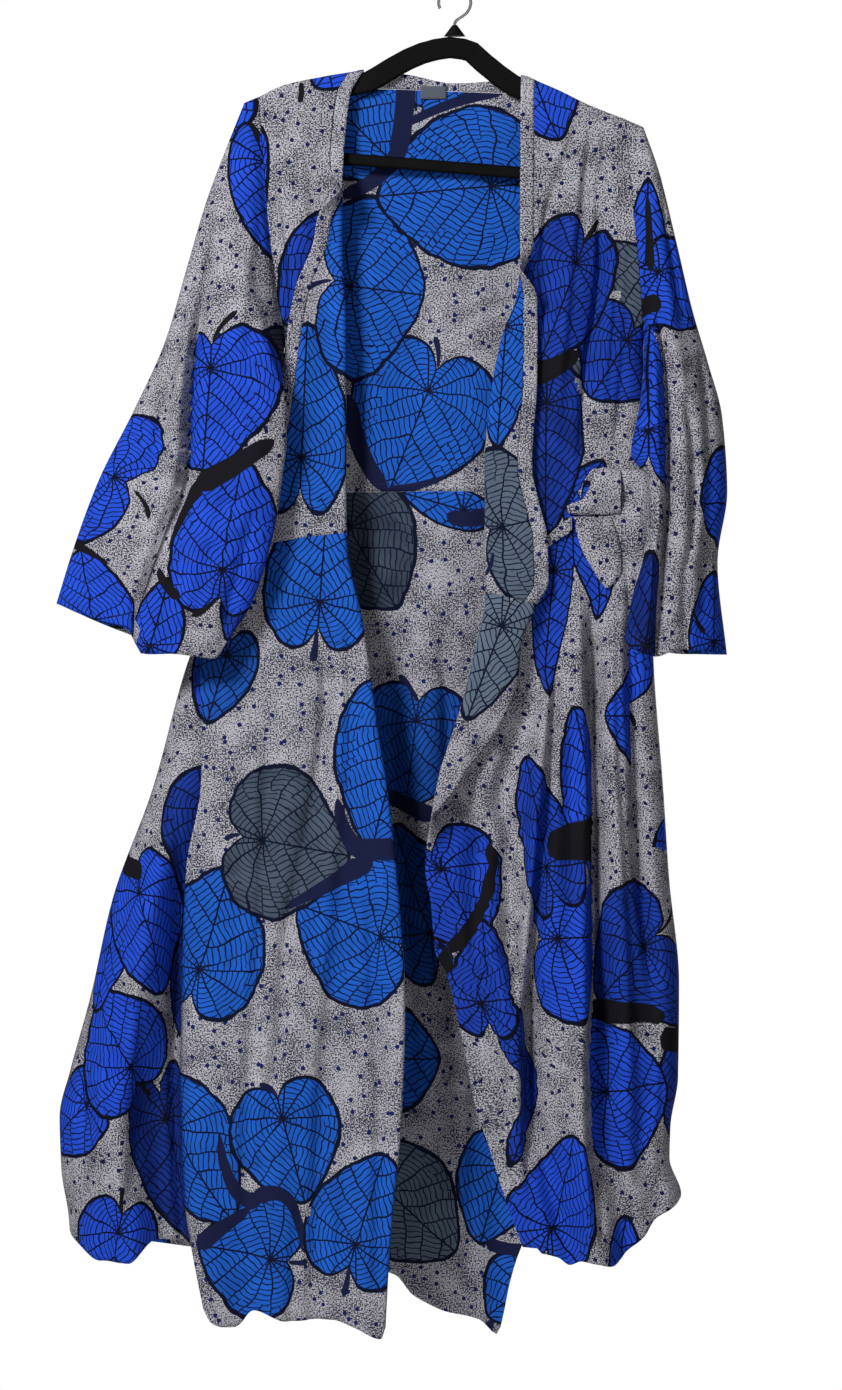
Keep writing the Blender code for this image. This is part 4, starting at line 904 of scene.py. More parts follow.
def crumple(x, drop, height, seed):
    """Slight uneven waviness of washed cotton, as a sum of slanted ripples."""
    total = np.zeros_like(x)
    state = seed * 1.7
    for number in range(RIPPLES):
        state = (state * 7.31 + 1.93) % 6.283
        wave = 52 + 23 * number % 97 + 9 * number
        angle = 0.25 + 0.33 * math.sin(state * 3.1)
        phase = (x * math.cos(angle) + drop * math.sin(angle) * 0.7) / wave * 2 * math.pi + state
        warp = 0.9 * np.sin(drop / (wave * 2.3) + state * 2) + 0.7 * np.sin(x / (wave * 1.9) + state)
        total += np.sin(phase + warp) * wave / 120
    return total * height / 3


def add_object(name, data):
    """A new object in the scene."""
    thing = bpy.data.objects.new(name, data)
    bpy.context.scene.collection.objects.link(thing)
    return thing


def corner_values(shape, regions, edges):
    """What the finishes read at the corners of the faces: places on flat cloth, on leaves and
    on stems, and the leaves' sizes and the distances from the sewn edges."""
    maps = {key: np.zeros((*shape, 4, 2)) for key in ("cloth", "leaf_a", "leaf_b", "stem_a", "stem_b")}
    facts = {key: np.zeros((*shape, 4, 3)) for key in ("size_a", "size_b", "edges")}
    facts["edges"][..., :2] = around(edges) * MM
    for region in regions:
        part = around(region.flat)[region.faces]
        leaves, stems = region.leaves, region.stems
        if region.shift is not None:
            low, high = part.min(axis=(0, 1)), part.max(axis=(0, 1))
            more_leaves, more_stems = repeated(low, high, region.shift, leaves, stems)
            leaves, stems = leaves + more_leaves, stems + more_stems
        on_leaves, sizes = leaf_places(part, leaves)
        on_stems = stem_places(part, stems)
        maps["cloth"][region.faces] = part * MM
        for number, layer in enumerate("ab"):
            maps["leaf_" + layer][region.faces] = on_leaves[number]
            maps["stem_" + layer][region.faces] = on_stems[number]
            facts["size_" + layer][region.faces] = sizes[number]
    return maps, facts


def shell(node, x, y, drop, regions, outward, slots, edges, closed=False, keep=None):
    """A thin shell through a grid of points, in place of a CAD node, with the print's places
    on its corners. "outward" is True where the grid's faces already point out of the dress."""
    shape = (x.shape[0] - 1, x.shape[1] - 1)
    points = np.stack([x, y, -drop], axis=-1) * MM
    index = np.arange(x.size).reshape(x.shape)
    if closed:
        index[:, -1] = index[:, 0]
    kept = np.ones(shape, bool) if keep is None else keep
    order = [0, 1, 2, 3] if outward else [3, 2, 1, 0]
    used, faces = np.unique(around(index)[kept][:, order], return_inverse=True)
    mesh = bpy.data.meshes.new(node + "_cloth")
    mesh.from_pydata(points.reshape(-1, 3)[used].tolist(), [], faces.reshape(-1, 4).tolist())
    maps, facts = corner_values(shape, regions, edges)
    for key, values in maps.items():
        layer = mesh.uv_layers.new(name=key)
        layer.data.foreach_set("uv", values[kept][:, order].astype(np.float32).ravel())
    for key, values in facts.items():
        layer = mesh.attributes.new(key, "FLOAT_VECTOR", "CORNER")
        layer.data.foreach_set("vector", values[kept][:, order].astype(np.float32).ravel())
    mesh.shade_smooth()
    for finish in slots:
        mesh.materials.append(finish)
    piece = add_object(mesh.name, mesh)
    wall = piece.modifiers.new("Wall", "SOLIDIFY")
    wall.thickness = SHELL * MM
    wall.offset = 0
    wall.material_offset = len(slots) - 1
    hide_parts(node)
    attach(piece, BODY)


def around(values):
    """A grid's values at the four corners of each of its faces."""
    return np.stack([values[:-1, :-1], values[:-1, 1:], values[1:, 1:], values[1:, :-1]], axis=2)


def steps_to_one(count):
    """Even steps that end at 1 and leave 0 out."""
    return np.linspace(0, 1, count + 1)[1:]


def front_columns(outer, roll, flap, band):
    """Positions across a front, closer together near the side seam."""
    first = np.linspace(0, 1, outer + 1)
    first = blend(first, first ** 2, SEAM_CROWDING)
    parts = [first, blend(1, ROLL_END, steps_to_one(roll)), blend(ROLL_END, BAND_START, steps_to_one(flap))]
    if band:
        parts.append(blend(BAND_START, 2, steps_to_one(band)))
    return np.concatenate(parts)


def bodice_downs(top, underarm, waist):
    """Distances down the cloth for each column's rows, one row of them at the underarm."""
    over = [np.full_like(top, value) for value in
            (2 * HALF_SEAM, BEND_LENGTH * 0.3, BEND_LENGTH * 0.65, BEND_LENGTH)]
    body = [BEND_LENGTH + (underarm - top - SHOULDER_BEND) * t for t in steps_to_one(UPPER_ROWS)]
    rest = [body[-1] + (waist - underarm) * t for t in steps_to_one(LOWER_ROWS)]
    return np.stack(over + body + rest)


def rumple(side_gap, top_gap, foot_gap):
    """How freely cloth may crumple near its seams, 0 to 1."""
    return ease(side_gap / SIDE_EASE) * ease(top_gap / TOP_EASE) * ease(foot_gap / FOOT_EASE)


def worn(creased, x, drop, waves, seed):
    """How far back the long folds, the creases and the slight waviness push the cloth."""
    return fold_and_crease_depth(*creased, x, drop) + crumple(x, drop, waves, seed)


def sewn_edges(x, from_foot=NO_SEWING, from_edge=NO_SEWING):
    """How far each point lies from the free edge and from the lower edge, for the sewing."""
    return np.stack([np.broadcast_to(from_edge, x.shape), np.broadcast_to(from_foot, x.shape)], axis=-1)


def front_edges(x, y, from_foot):
    reached = length_along(1, x, y)
    return sewn_edges(x, from_foot, reached[:, -1:] - reached)


def cut_from(print_lists, seam, upper):
    """The leaves and stems on the cloth above the waist seam, or on the cloth below it."""
    return [[mark for mark in marks if (place(*mark[:2])[1] < seam) == upper] for marks in print_lists]


def left_of(fold_line, x, drop):
    """The faces to the left of a fold line."""
    across, level = pixel(x[:-1, :-1], drop[:-1, :-1])
    return across < curve(fold_line, "x", level, "y")


def seated_region(faces, flat, x, drop, near, print_lists, shift):
    leaves, stems = print_lists
    return Region(faces, flat, seated_leaves(flat, x, drop, near, leaves),
                  seated_stems(flat, x, drop, near, stems), shift)


def front_regions(x, y, drop, columns, side, edge, outer_parts, flap_lists, shifts):
    """A front's regions: its outer face to the middle of the roll, parted at the folds that
    hide some of its cloth, and the part that is turned over."""
    split = int(np.searchsorted(columns, ROLL_MIDDLE))
    outer = lie_flat(x, y, drop, int(np.searchsorted(columns, OUTER_MIDDLE)), -side)
    turned = lie_flat(x, y, drop, int(np.searchsorted(columns, FLAP_MIDDLE)), side)
    beyond = np.arange(x.shape[1] - 1) >= split
    turned_faces = beyond & (curve(edge, "turn", drop[:-1, :-1]) > 0.5)
    on_flap = slice(split, x.shape[1])
    regions = [seated_region(turned_faces, turned, x, drop, on_flap, flap_lists, shifts[1])]
    remaining = ~turned_faces
    for fold_line, print_lists in outer_parts:
        here = remaining if fold_line is None else remaining & left_of(fold_line, x, drop)
        remaining = remaining & ~here
        if here.any():
            regions.append(seated_region(here, outer, x, drop, slice(0, split + 1), print_lists, shifts[0]))
    return regions


def bodice_grid(side, edge, folds, waist, columns):
    """Points of a front bodice on some columns, how far along and down they lie, and the seam
    at each column's foot."""
    shoulder_x = front_surface(side, edge, (), (), columns, np.full_like(columns, SHOULDER_LEVEL))[0]
    seam = curve(waist, "drop", columns, "along") - WAIST_GAP / 2
    downs = bodice_downs(curve(SHOULDER, "drop", shoulder_x, "x"), UNDERARM[side], seam)
    along = np.broadcast_to(columns, downs.shape)
    points = bodice_surface(side, edge, folds, along, np.broadcast_to(shoulder_x, downs.shape), downs)
    return points, along, downs, seam


def make_front(side, name, edge, folds, flap_folds, waist, hem, outer_parts, flap_lists, creased, shifts):
    """A front's bodice, skirt and band. "outer_parts" are the bodice's and the skirt's."""
    flap_seam = curve(waist, "drop", FLAP_SEAM, "along")
    upper_flap, lower_flap = cut_from(flap_lists, flap_seam, True), cut_from(flap_lists, flap_seam, False)
    columns = front_columns(*BODICE_COLUMNS)
    (x, y, drop), along, downs, seam = bodice_grid(side, edge, folds, waist, columns)
    free = rumple(np.abs(x - curve(SIDE[side], "x", drop)), downs, seam - drop)
    free = free * (1 - ease((along - BAND_CALM) / BAND_CALM_WIDTH))
    y = y + free * worn(creased, x, drop, BODICE_WAVES, FRONT_BODICE_SEED + side)
    shell(name + "_front_bodice", x, y, drop,
          front_regions(x, y, drop, columns, side, edge, outer_parts[0], upper_flap, shifts[0]),
          side > 0, PRINT, front_edges(x, y, seam - drop))

    columns = front_columns(*SKIRT_COLUMNS)
    seam = curve(waist, "drop", columns, "along") + WAIST_GAP / 2
    foot = curve(hem, "drop", columns, "along")
    drop = blend(seam, foot, np.linspace(0, 1, FRONT_SKIRT_ROWS)[:, None])
    along = np.broadcast_to(columns, drop.shape)
    x, y, drop = front_surface(side, edge, folds, flap_folds, along, drop)
    free = rumple(np.abs(x - curve(SIDE[side], "x", drop)), drop - seam, FOOT_EASE)
    y = y + free * worn(creased, x, drop, SKIRT_WAVES, FRONT_SKIRT_SEED + side)
    shell(name + "_front_skirt", x, y, drop,
          front_regions(x, y, drop, columns, side, edge, outer_parts[1], lower_flap, shifts[1]),
          side > 0, PRINT, front_edges(x, y, foot - drop))

    columns = blend(BAND_START + BAND_GAP, 2, np.linspace(0, 1, BAND_LINES))
    (x, y, drop), along, downs, seam = bodice_grid(side, edge, folds, waist, columns)
    shell(name + "_front_band", x, y, drop, plain_region(x, y, drop), side > 0, BANDS,
          front_edges(x, y, NO_SEWING))


def all_faces(x):
    return np.ones((x.shape[0] - 1, x.shape[1] - 1), bool)


def plain_region(x, y, drop):
    """A piece without leaves of its own."""
    flat = lie_flat(x, y, drop, x.shape[1] // 2, 1 if x[-1, -1] > x[-1, 0] else -1)
    return [Region(all_faces(x), flat, [], [], None)]


def make_back():
    left, right = [float(curve(SIDE[side], "x", SHOULDER_CORNER[side])) for side in (-1, 1)]
    ends = [blend(*pair, np.linspace(0, 1, BACK_SHOULDER_COLUMNS))
            for pair in ((left, NECK_LEFT), (NECK_RIGHT, right))]
    neck = blend(NECK_LEFT, NECK_RIGHT, np.linspace(0, 1, BACK_NECK_COLUMNS)[1:-1])
    tops = np.concatenate([ends[0], neck, ends[1]])
    part = (tops - left) / (right - left)
    top = curve(SHOULDER, "drop", tops, "x")
    under = blend(UNDERARM[-1], UNDERARM[1], ease((part - 0.3) / 0.4))
    waist = curve(BACK_WAIST, "drop", part, "along")
    downs = bodice_downs(top, under, waist - WAIST_GAP / 2)
    bend_row, underarm_row = OVER_ROWS - 1, OVER_ROWS + UPPER_ROWS - 1
    upper = (downs[OVER_ROWS:underarm_row + 1] - downs[bend_row]) / (downs[underarm_row] - downs[bend_row])
    downs[OVER_ROWS:underarm_row + 1] = NECK_BAND_DEPTH + (
        (downs[underarm_row] - NECK_BAND_DEPTH) * (upper - upper[0]) / (1 - upper[0]))
    drop = top + over_shoulder(downs)[0]
    x, y, drop = back_surface(np.broadcast_to(part, drop.shape), drop, downs)
    inward = np.minimum(x - curve(SIDE[-1], "x", drop), curve(SIDE[1], "x", drop) - x)
    free = rumple(inward, downs - BACK_CREASE_START, waist - drop)
    y = y + free * worn(BACK_CREASED, x, drop, BODICE_WAVES, BACK_BODICE_SEED)
    keep = all_faces(x)
    keep[:OVER_ROWS, BACK_SHOULDER_COLUMNS - 1:BACK_SHOULDER_COLUMNS + len(neck)] = False
    shell("back_bodice", x, y, drop, back_regions(x, y, drop, "bodice"), True, PRINT,
          sewn_edges(x, waist - drop), keep=keep)

    part = np.linspace(0, 1, BACK_SKIRT_COLUMNS)
    waist = curve(BACK_WAIST, "drop", part, "along") + WAIST_GAP / 2
    hem = curve(BACK_HEM, "drop", part, "along")
    drop = blend(waist, hem, np.linspace(0, 1, BACK_SKIRT_ROWS)[:, None])
    x, y, drop = back_surface(np.broadcast_to(part, drop.shape), drop)
    inward = np.minimum(x - curve(SIDE[-1], "x", drop), curve(SIDE[1], "x", drop) - x)
    free = rumple(inward, drop - waist, FOOT_EASE)
    y = y + free * worn(BACK_CREASED, x, drop, SKIRT_WAVES, BACK_SKIRT_SEED)
    shell("back_skirt", x, y, drop, back_regions(x, y, drop, "skirt"), True, PRINT,
          sewn_edges(x, hem - drop))

    ends = NECK_LEFT + NECK_BAND_INSET, NECK_RIGHT - NECK_BAND_INSET
    tops = blend(*ends, np.linspace(0, 1, NECK_BAND_COLUMNS))
    top = curve(SHOULDER, "drop", tops, "x")
    upper = curve(NECK_EDGE, "drop", tops, "x")
    lower = top + over_shoulder(NECK_BAND_DEPTH)[0] - 2 * HALF_SEAM
    drop = blend(upper, lower, np.linspace(0, 1, BAND_LINES)[:, None])
    downs = BEND_LENGTH + np.maximum(drop - top - SHOULDER_BEND, 0)
    part = np.broadcast_to((tops - left) / (right - left), drop.shape)
    x, y, drop = back_surface(part, drop, downs)
    shell("back_neck_band", x, y, drop, plain_region(x, y, drop), True, BANDS,
          sewn_edges(x, drop - upper))


def back_regions(x, y, drop, name):
    """The whole of the back's bodice or skirt, as one region."""
    flat = lie_flat(x, y, drop, x.shape[1] // 2, 1)
    seam = float(curve(BACK_WAIST, "drop", 0.5, "along"))
    print_lists = cut_from((BACK_LEAVES, BACK_STEMS), seam, name == "bodice")
    everywhere = slice(0, x.shape[1])
    return [seated_region(all_faces(x), flat, x, drop, everywhere, print_lists, BACK_SHIFTS[name])]


def make_sleeve(side, name, table, cuff, fold_line, halves, creased):
    """A sleeve, as rings from its armhole to its cuff. Its front has a deep fold that hides
    some of the cloth, so the print to the left of it and to its right are seated apart."""
    half = np.linspace(0, 1, RING_POINTS)
    half = blend(half, (1 - np.cos(half * math.pi)) / 2, RING_CROWDING)
    part = np.concatenate([half, half[-2:0:-1], half[:1]])
    sign = np.concatenate([-np.ones(len(half)), np.ones(len(half) - 1)])
    start = [np.where(sign < 0, before, behind)
             for before, behind in zip(armhole(side, -1, part), armhole(side, 1, part))]
    start[1] = np.where((part < 1e-6) | (part > 1 - 1e-6), 0, start[1])
    step = [start[0] + side * SLEEVE_START, start[1],
            start[2] + SHOULDER_SLOPE * SLEEVE_START * (1 - part)]
    last = len(table["half"]) - 1
    numbered = dict(table, ring=np.arange(last + 1.0))
    number = np.linspace(0, last, ROWS_A_RING * last + 1)[:, None]
    here = {key: curve(numbered, key, number, "ring") for key in table}
    x = blend(here["outer_x"], here["inner_x"], part)
    drop = blend(here["outer_drop"], here["inner_drop"], part)
    bulge = here["half"] * np.sqrt(np.maximum(1 - (2 * part - 1) ** 2, 0))
    y = sign * bulge - blend(here["outer_front"], here["inner_front"], part)
    for groove in SLEEVE_GROOVES[side]:
        away = (part - groove.centre) / groove.width
        y += (sign < 0) * ease(number / GROOVE_ROWS) * groove.depth * np.exp(-away ** 2)
    turned_down = np.where(sign < 0, *(curve(cuff, way, part, "part") for way in ("front", "back")))
    drop = drop + turned_down * np.clip(number - (last - 1), 0, 1)
    join = [np.stack([blend(a, b[0], t) for t in SLEEVE_JOIN]) for a, b in zip(step, (x, y, drop))]
    x, y, drop = [np.concatenate([a[None], b, c]) for a, b, c in zip(start, join, (x, y, drop))]
    edge_room = ease(np.minimum(part, 1 - part) / RING_EASE)
    row_room = ease((np.arange(len(x)) - JOIN_ROWS) / JOIN_EASE)[:, None]
    y = y + edge_room * row_room * (fold_and_crease_depth(*creased, x, drop) * (sign < 0)
                                    + crumple(x, drop, BODICE_WAVES, SLEEVE_SEED + side))
    middle = len(half) // 2
    back_middle = len(part) - 1 - middle
    corner = len(half) - 1
    front_flat = lie_flat_ring(x, y, drop, middle, (0, corner))
    back_flat = lie_flat_ring(x, y, drop, back_middle, (corner, len(part) - 1))
    front_span = slice(0, corner + 1)
    in_front = all_faces(x) & (np.arange(x.shape[1] - 1) < corner)
    at_left = left_of(fold_line, x, drop)
    regions = [Region(~in_front, back_flat, [], [], SLEEVE_SHIFTS[side])]
    for faces, print_lists in zip((in_front & at_left, in_front & ~at_left), halves):
        if faces.any():
            regions.append(seated_region(faces, front_flat, x, drop, front_span, print_lists, None))
    reached = length_along(0, x, y, drop)
    shell(name, x, y, drop, regions, side > 0, PRINT, sewn_edges(x, reached[-1] - reached), closed=True)


def make_tie():
    """The knot, its two tails and the short band that comes to it."""
    across = np.linspace(0, 1, TIE_ACROSS)
    for name, table, bulge in (("tie_short_tail", TIE_SHORT_TAIL, 4), ("tie_long_tail", TIE_LONG_TAIL, 5)):
        level = blend(table["drop"][0], table["drop"][-1], np.linspace(0, 1, TAIL_ROWS))[:, None]
        x = blend(curve(table, "left", level), curve(table, "right", level), across)
        drop = np.broadcast_to(level, x.shape)
        pleats = np.sin(across * math.pi * 3 + level / TAIL_LEAN) * np.sin(across * math.pi)
        x, y, drop = tie_surface(x, drop, bulge * np.sin(math.pi * across) + TAIL_PLEAT * pleats)
        shell(name, x, y, drop, plain_region(x, y, drop), False, TIES,
              sewn_edges(x, table["drop"][-1] - drop))
    across = across[:, None]
    for name, table, bulge in (("tie_knot", TIE_KNOT, 9), ("tie_band", TIE_BAND, 2)):
        along = blend(table["x"][0], table["x"][-1], np.linspace(0, 1, KNOT_COLUMNS))
        high_edge, low_edge = curve(table, "top", along, "x"), curve(table, "foot", along, "x")
        drop = blend(high_edge, low_edge, across)
        x = np.broadcast_to(along, drop.shape)
        high = bulge * np.minimum((low_edge - high_edge) / KNOT_FULL, 1) * np.sin(math.pi * across)
        pleats = np.sin(across * math.pi * 4 + x / KNOT_LEAN) * np.sin(across * math.pi)
        x, y, drop = tie_surface(x, drop, high + KNOT_PLEAT * high * pleats)
        shell(name, x, y, drop, plain_region(x, y, drop), False, TIES, sewn_edges(x))


def make_label():
    shape = (8, 12)
    drop = np.broadcast_to(np.linspace(*LABEL_DROPS, shape[0])[:, None], shape)
    x = np.broadcast_to(np.linspace(*LABEL_X, shape[1]), shape)
    downs = BEND_LENGTH + drop - curve(SHOULDER, "drop", x, "x") - SHOULDER_BEND
    left, right = curve(SIDE[-1], "x", drop), curve(SIDE[1], "x", drop)
    x, y, drop = back_surface((x - left) / (right - left), drop, downs)
    shell("neck_label", x, y - LABEL_LIFT, drop, plain_region(x, y, drop), False, LABELS, sewn_edges(x))


class Tree:
    """Adds nodes to a material's or a group's node tree."""

    def __init__(self, tree):
        self.tree = tree

    def add(self, kind, **settings):
        node = self.tree.nodes.new(kind)
        for name, value in settings.items():
            setattr(node, name, value)
        return node

    def put(self, value, socket):
        if isinstance(value, bpy.types.NodeSocket):
            self.tree.links.new(value, socket)
        else:
            socket.default_value = value

    def math(self, operation, *values, clamp=False):
        node = self.add("ShaderNodeMath", operation=operation, use_clamp=clamp)
        for value, socket in zip(values, node.inputs):
            self.put(value, socket)
        return node.outputs[0]

    plus = partialmethod(math, "ADD")
    minus = partialmethod(math, "SUBTRACT")
    times = partialmethod(math, "MULTIPLY")
    over = partialmethod(math, "DIVIDE")
    times_plus = partialmethod(math, "MULTIPLY_ADD")
    larger = partialmethod(math, "MAXIMUM")
    smaller = partialmethod(math, "MINIMUM")
    bare = partialmethod(math, "ABSOLUTE")
    above = partialmethod(math, "GREATER_THAN")

    def length(self, x, y):
        return self.math("SQRT", self.plus(self.times(x, x), self.times(y, y)))

    def wave(self, value, length):
        return self.math("SINE", self.times(value, 2 * math.pi / length))

    def mix(self, share, first, second):
        node = self.add("ShaderNodeMix", data_type="RGBA")
        for value, number in ((share, 0), (first, 6), (second, 7)):
            self.put(value, node.inputs[number])
        return node.outputs[2]

    def parts(self, vector):
        node = self.add("ShaderNodeSeparateXYZ")
        self.put(vector, node.inputs[0])
        return node.outputs

    def noise(self, vector, scale, detail=2.0, roughness=0.5):
        node = self.add("ShaderNodeTexNoise")
        self.put(vector, node.inputs["Vector"])
        node.inputs["Scale"].default_value = scale
        node.inputs["Detail"].default_value = detail
        node.inputs["Roughness"].default_value = roughness
        return node.outputs[0]

    def object_place(self):
        return self.add("ShaderNodeTexCoord").outputs["Object"]

    def bump(self, height, strength, distance):
        node = self.add("ShaderNodeBump")
        node.inputs["Strength"].default_value = strength
        node.inputs["Distance"].default_value = distance
        self.put(height, node.inputs["Height"])
        return node.outputs[0]

    def within(self, distance, half, soft):
        """1 where the distance is under half, fading to 0 over "soft"."""
        past = self.minus(half, self.bare(distance))
        return self.times_plus(past, 1 / soft, 0.5, clamp=True)

    def fold(self, value):
        """Signed distance to the nearest whole number."""
        return self.minus(self.math("FRACT", self.plus(value, 0.5)), 0.5)


def new_finish(name, **values):
    """A material, its tree and its shader's inputs, of which some are set by name."""
    finish = bpy.data.materials.new(name)
    finish.use_nodes = True
    inputs = finish.node_tree.nodes["Principled BSDF"].inputs
    for key, value in values.items():
        inputs[key.replace("_", " ")].default_value = value
    return finish, Tree(finish.node_tree), inputs


def socket(tree, name, kind, way="INPUT"):
    return tree.interface.new_socket(name=name, in_out=way, socket_type="NodeSocket" + kind)


LINE_SOFT = 0.0005
NODE_PLACE = 0.2
VEIN_CURVE = 3.0
VEIN_STEP = 0.026
FAN_ANGLE = 1.0
FAN_STEP = 0.46
RUNG = 0.0058
OUTLINE_HALF, MIDRIB_HALF, VEIN_HALF, MINOR_HALF, RUNG_HALF = 0.0021, 0.001, 0.0009, 0.0007, 0.00062
MINOR_START = 0.068


def leaf_group():
    """A veined leaf in its own coordinates: how far a point is inside it, and its lines."""
    tree = bpy.data.node_groups.new("Leaf", "ShaderNodeTree")
    socket(tree, "Place", "Vector")
    socket(tree, "Size", "Vector")
    socket(tree, "Cloth", "Vector")
    socket(tree, "Inside", "Float", "OUTPUT")
    socket(tree, "Line", "Float", "OUTPUT")
    t = Tree(tree)
    given, result = t.add("NodeGroupInput").outputs, t.add("NodeGroupOutput").inputs
    along = t.parts(given["Place"])
    width, length, tone = t.parts(given["Size"])
    side = t.bare(along[0])
    up = t.minus(along[1], LEAF_MIDDLE)
    radius = t.length(side, up)
    turn = t.over(t.math("ARCTAN2", side, up), math.pi)
    outline = t.add("ShaderNodeFloatCurve")
    t.put(turn, outline.inputs["Value"])
    points = outline.mapping.curves[0].points
    for angle, reach in LEAF_OUTLINE[1:-1]:
        points.new(angle, reach)
    for point, (angle, reach) in zip(points, LEAF_OUTLINE):
        point.location = (angle, reach)
    outline.mapping.update()
    wobble = t.noise(given["Cloth"], 42.0)
    reach = t.times_plus(wobble, 0.06, t.minus(outline.outputs[0], 0.03))
    scale = t.times(t.plus(width, length), 0.5)
    beyond = t.times(t.minus(radius, reach), scale)
    inside = t.times_plus(beyond, -1 / LINE_SOFT, 0.5, clamp=True)
    edge = t.within(beyond, OUTLINE_HALF, LINE_SOFT)

    # Veins leave the midrib side by side, and behind the widest one they fan from one point.
    x = t.times(side, width)
    y = t.times(t.minus(along[1], NODE_PLACE), length)
    y = t.minus(y, t.times(t.times(x, x), VEIN_CURVE))
    from_node = t.length(x, y)
    ahead = t.times_plus(x, -1 / math.tan(FAN_ANGLE), y)
    is_ahead = t.above(ahead, 0.0)
    steps_up = t.larger(t.over(ahead, VEIN_STEP), 0.0)
    heading = t.math("ARCTAN2", x, y)
    steps_round = t.smaller(t.over(t.minus(FAN_ANGLE, heading), FAN_STEP), 0.0)
    bend = t.times_plus(t.noise(given["Cloth"], 20.0), 0.9, -0.45)
    number = t.plus(t.plus(steps_up, steps_round), bend)
    fan_gap = t.times(from_node, FAN_STEP)
    even_gap = VEIN_STEP * math.sin(FAN_ANGLE)
    gap = t.plus(t.times(is_ahead, even_gap),
                 t.times(t.minus(1.0, is_ahead), fan_gap))
    beside = t.over(x, math.sin(FAN_ANGLE))
    out = t.times_plus(t.minus(beside, from_node), is_ahead, from_node)
    reached = t.times_plus(x, math.sin(FAN_ANGLE), t.times(y, math.cos(FAN_ANGLE)))
    reached = t.times_plus(t.minus(reached, from_node), is_ahead, from_node)
    midrib = t.within(x, MIDRIB_HALF, LINE_SOFT)
    main = t.within(t.times(t.fold(number), gap), VEIN_HALF, LINE_SOFT)
    outer = t.above(t.times_plus(wobble, 0.03, out), MINOR_START)
    between = t.fold(t.plus(number, 0.5))
    minor = t.times(t.within(t.times(between, gap), MINOR_HALF, LINE_SOFT), outer)
    cell = t.math("FLOOR", t.times(number, t.plus(outer, 1.0)))
    on_right = t.above(along[0], 0.0)
    shuffled = t.math("FRACT", t.times_plus(cell, 0.618, t.times(on_right, 0.37)))
    uneven = t.times(t.noise(given["Cloth"], 45.0), 1.6)
    rung = t.plus(t.times_plus(reached, 1 / RUNG, shuffled), uneven)
    ladder = t.within(t.times(t.fold(rung), RUNG), RUNG_HALF, LINE_SOFT)
    veins = t.larger(t.larger(main, minor), t.larger(ladder, midrib))

    lines = t.larger(edge, t.times(veins, inside))
    t.put(inside, result["Inside"])
    t.put(lines, result["Line"])
    return tree


Inks = namedtuple("Inks", "pale dark blue slate line stem dot")
OUTER_INKS = Inks((0.46, 0.45, 0.49, 1), (0.014, 0.015, 0.034, 1), (0.018, 0.088, 0.74, 1),
                  (0.145, 0.195, 0.265, 1), (0.002, 0.003, 0.012, 1), (0.006, 0.006, 0.009, 1),
                  (0.005, 0.008, 0.06, 1))
INNER_INKS = Inks((0.47, 0.46, 0.50, 1), (0.020, 0.021, 0.048, 1), (0.014, 0.130, 0.66, 1),
                  (0.145, 0.195, 0.265, 1), (0.003, 0.005, 0.020, 1), (0.008, 0.011, 0.045, 1),
                  (0.007, 0.012, 0.09, 1))


CROWDING_SCALE, GRAIN_SCALE = 30.0, 600.0
GRAIN_SPREAD, GRAIN_SHARE, GRAIN_SHARPNESS = 0.24, 0.38, -12.0
DOT_SCALE, DOT_RADIUS = 48.0, 0.115
# Size and strength of the darker patches on the leaves: partly uneven print, partly painted shade of folds
SHADE_SCALE, SHADE_DEPTH = 26.0, 0.5


def speckle(t, cloth, inks):
    """The ground: dark grains crowded unevenly on pale cotton."""
    crowding = t.noise(cloth, CROWDING_SCALE, 3.0)
    grains = t.noise(cloth, GRAIN_SCALE, 2.0, 0.6)
    level = t.times_plus(crowding, GRAIN_SPREAD, GRAIN_SHARE)
    dark = t.times_plus(t.minus(grains, level), GRAIN_SHARPNESS, 0.5, clamp=True)
    ground = t.mix(dark, inks.pale, inks.dark)
    dots = t.add("ShaderNodeTexVoronoi", voronoi_dimensions="2D", feature="F1", distance="EUCLIDEAN")
    t.put(cloth, dots.inputs["Vector"])
    dots.inputs["Scale"].default_value = DOT_SCALE
    round_dot = t.math("LESS_THAN", dots.outputs["Distance"], DOT_RADIUS)
    return t.mix(round_dot, ground, inks.dot)


WEAVE_STEP, RIB_STEP = 0.0011, 0.0009
STITCH, STITCH_GAP = 0.0034, 0.35
EDGE_SEAM, HEM_SEAM = 0.0148, 0.009
THREAD_HALF, THREAD_SOFT = 0.00035, 0.0003
THREAD_SHARE, THREAD = 0.55, (0.03, 0.03, 0.06, 1)


def weave_bump(t, cloth, strength=0.4):
    """A plain weave, and the small wrinkles of washed cotton."""
    x, y = t.parts(cloth)[:2]
    weave = t.times(t.plus(t.wave(x, WEAVE_STEP), t.wave(y, WEAVE_STEP)), 0.00003)
    large = t.bare(t.minus(t.noise(cloth, 17.0, 3.0), 0.5))
    small = t.noise(cloth, 60.0, 4.0, 0.6)
    return t.bump(t.plus(weave, t.times_plus(large, -0.006, t.times(small, 0.0012))), strength, 1.0)


def read_map(t, name):
    return t.add("ShaderNodeUVMap", uv_map=name).outputs[0]


def read_fact(t, name):
    return t.add("ShaderNodeAttribute", attribute_name=name).outputs["Vector"]


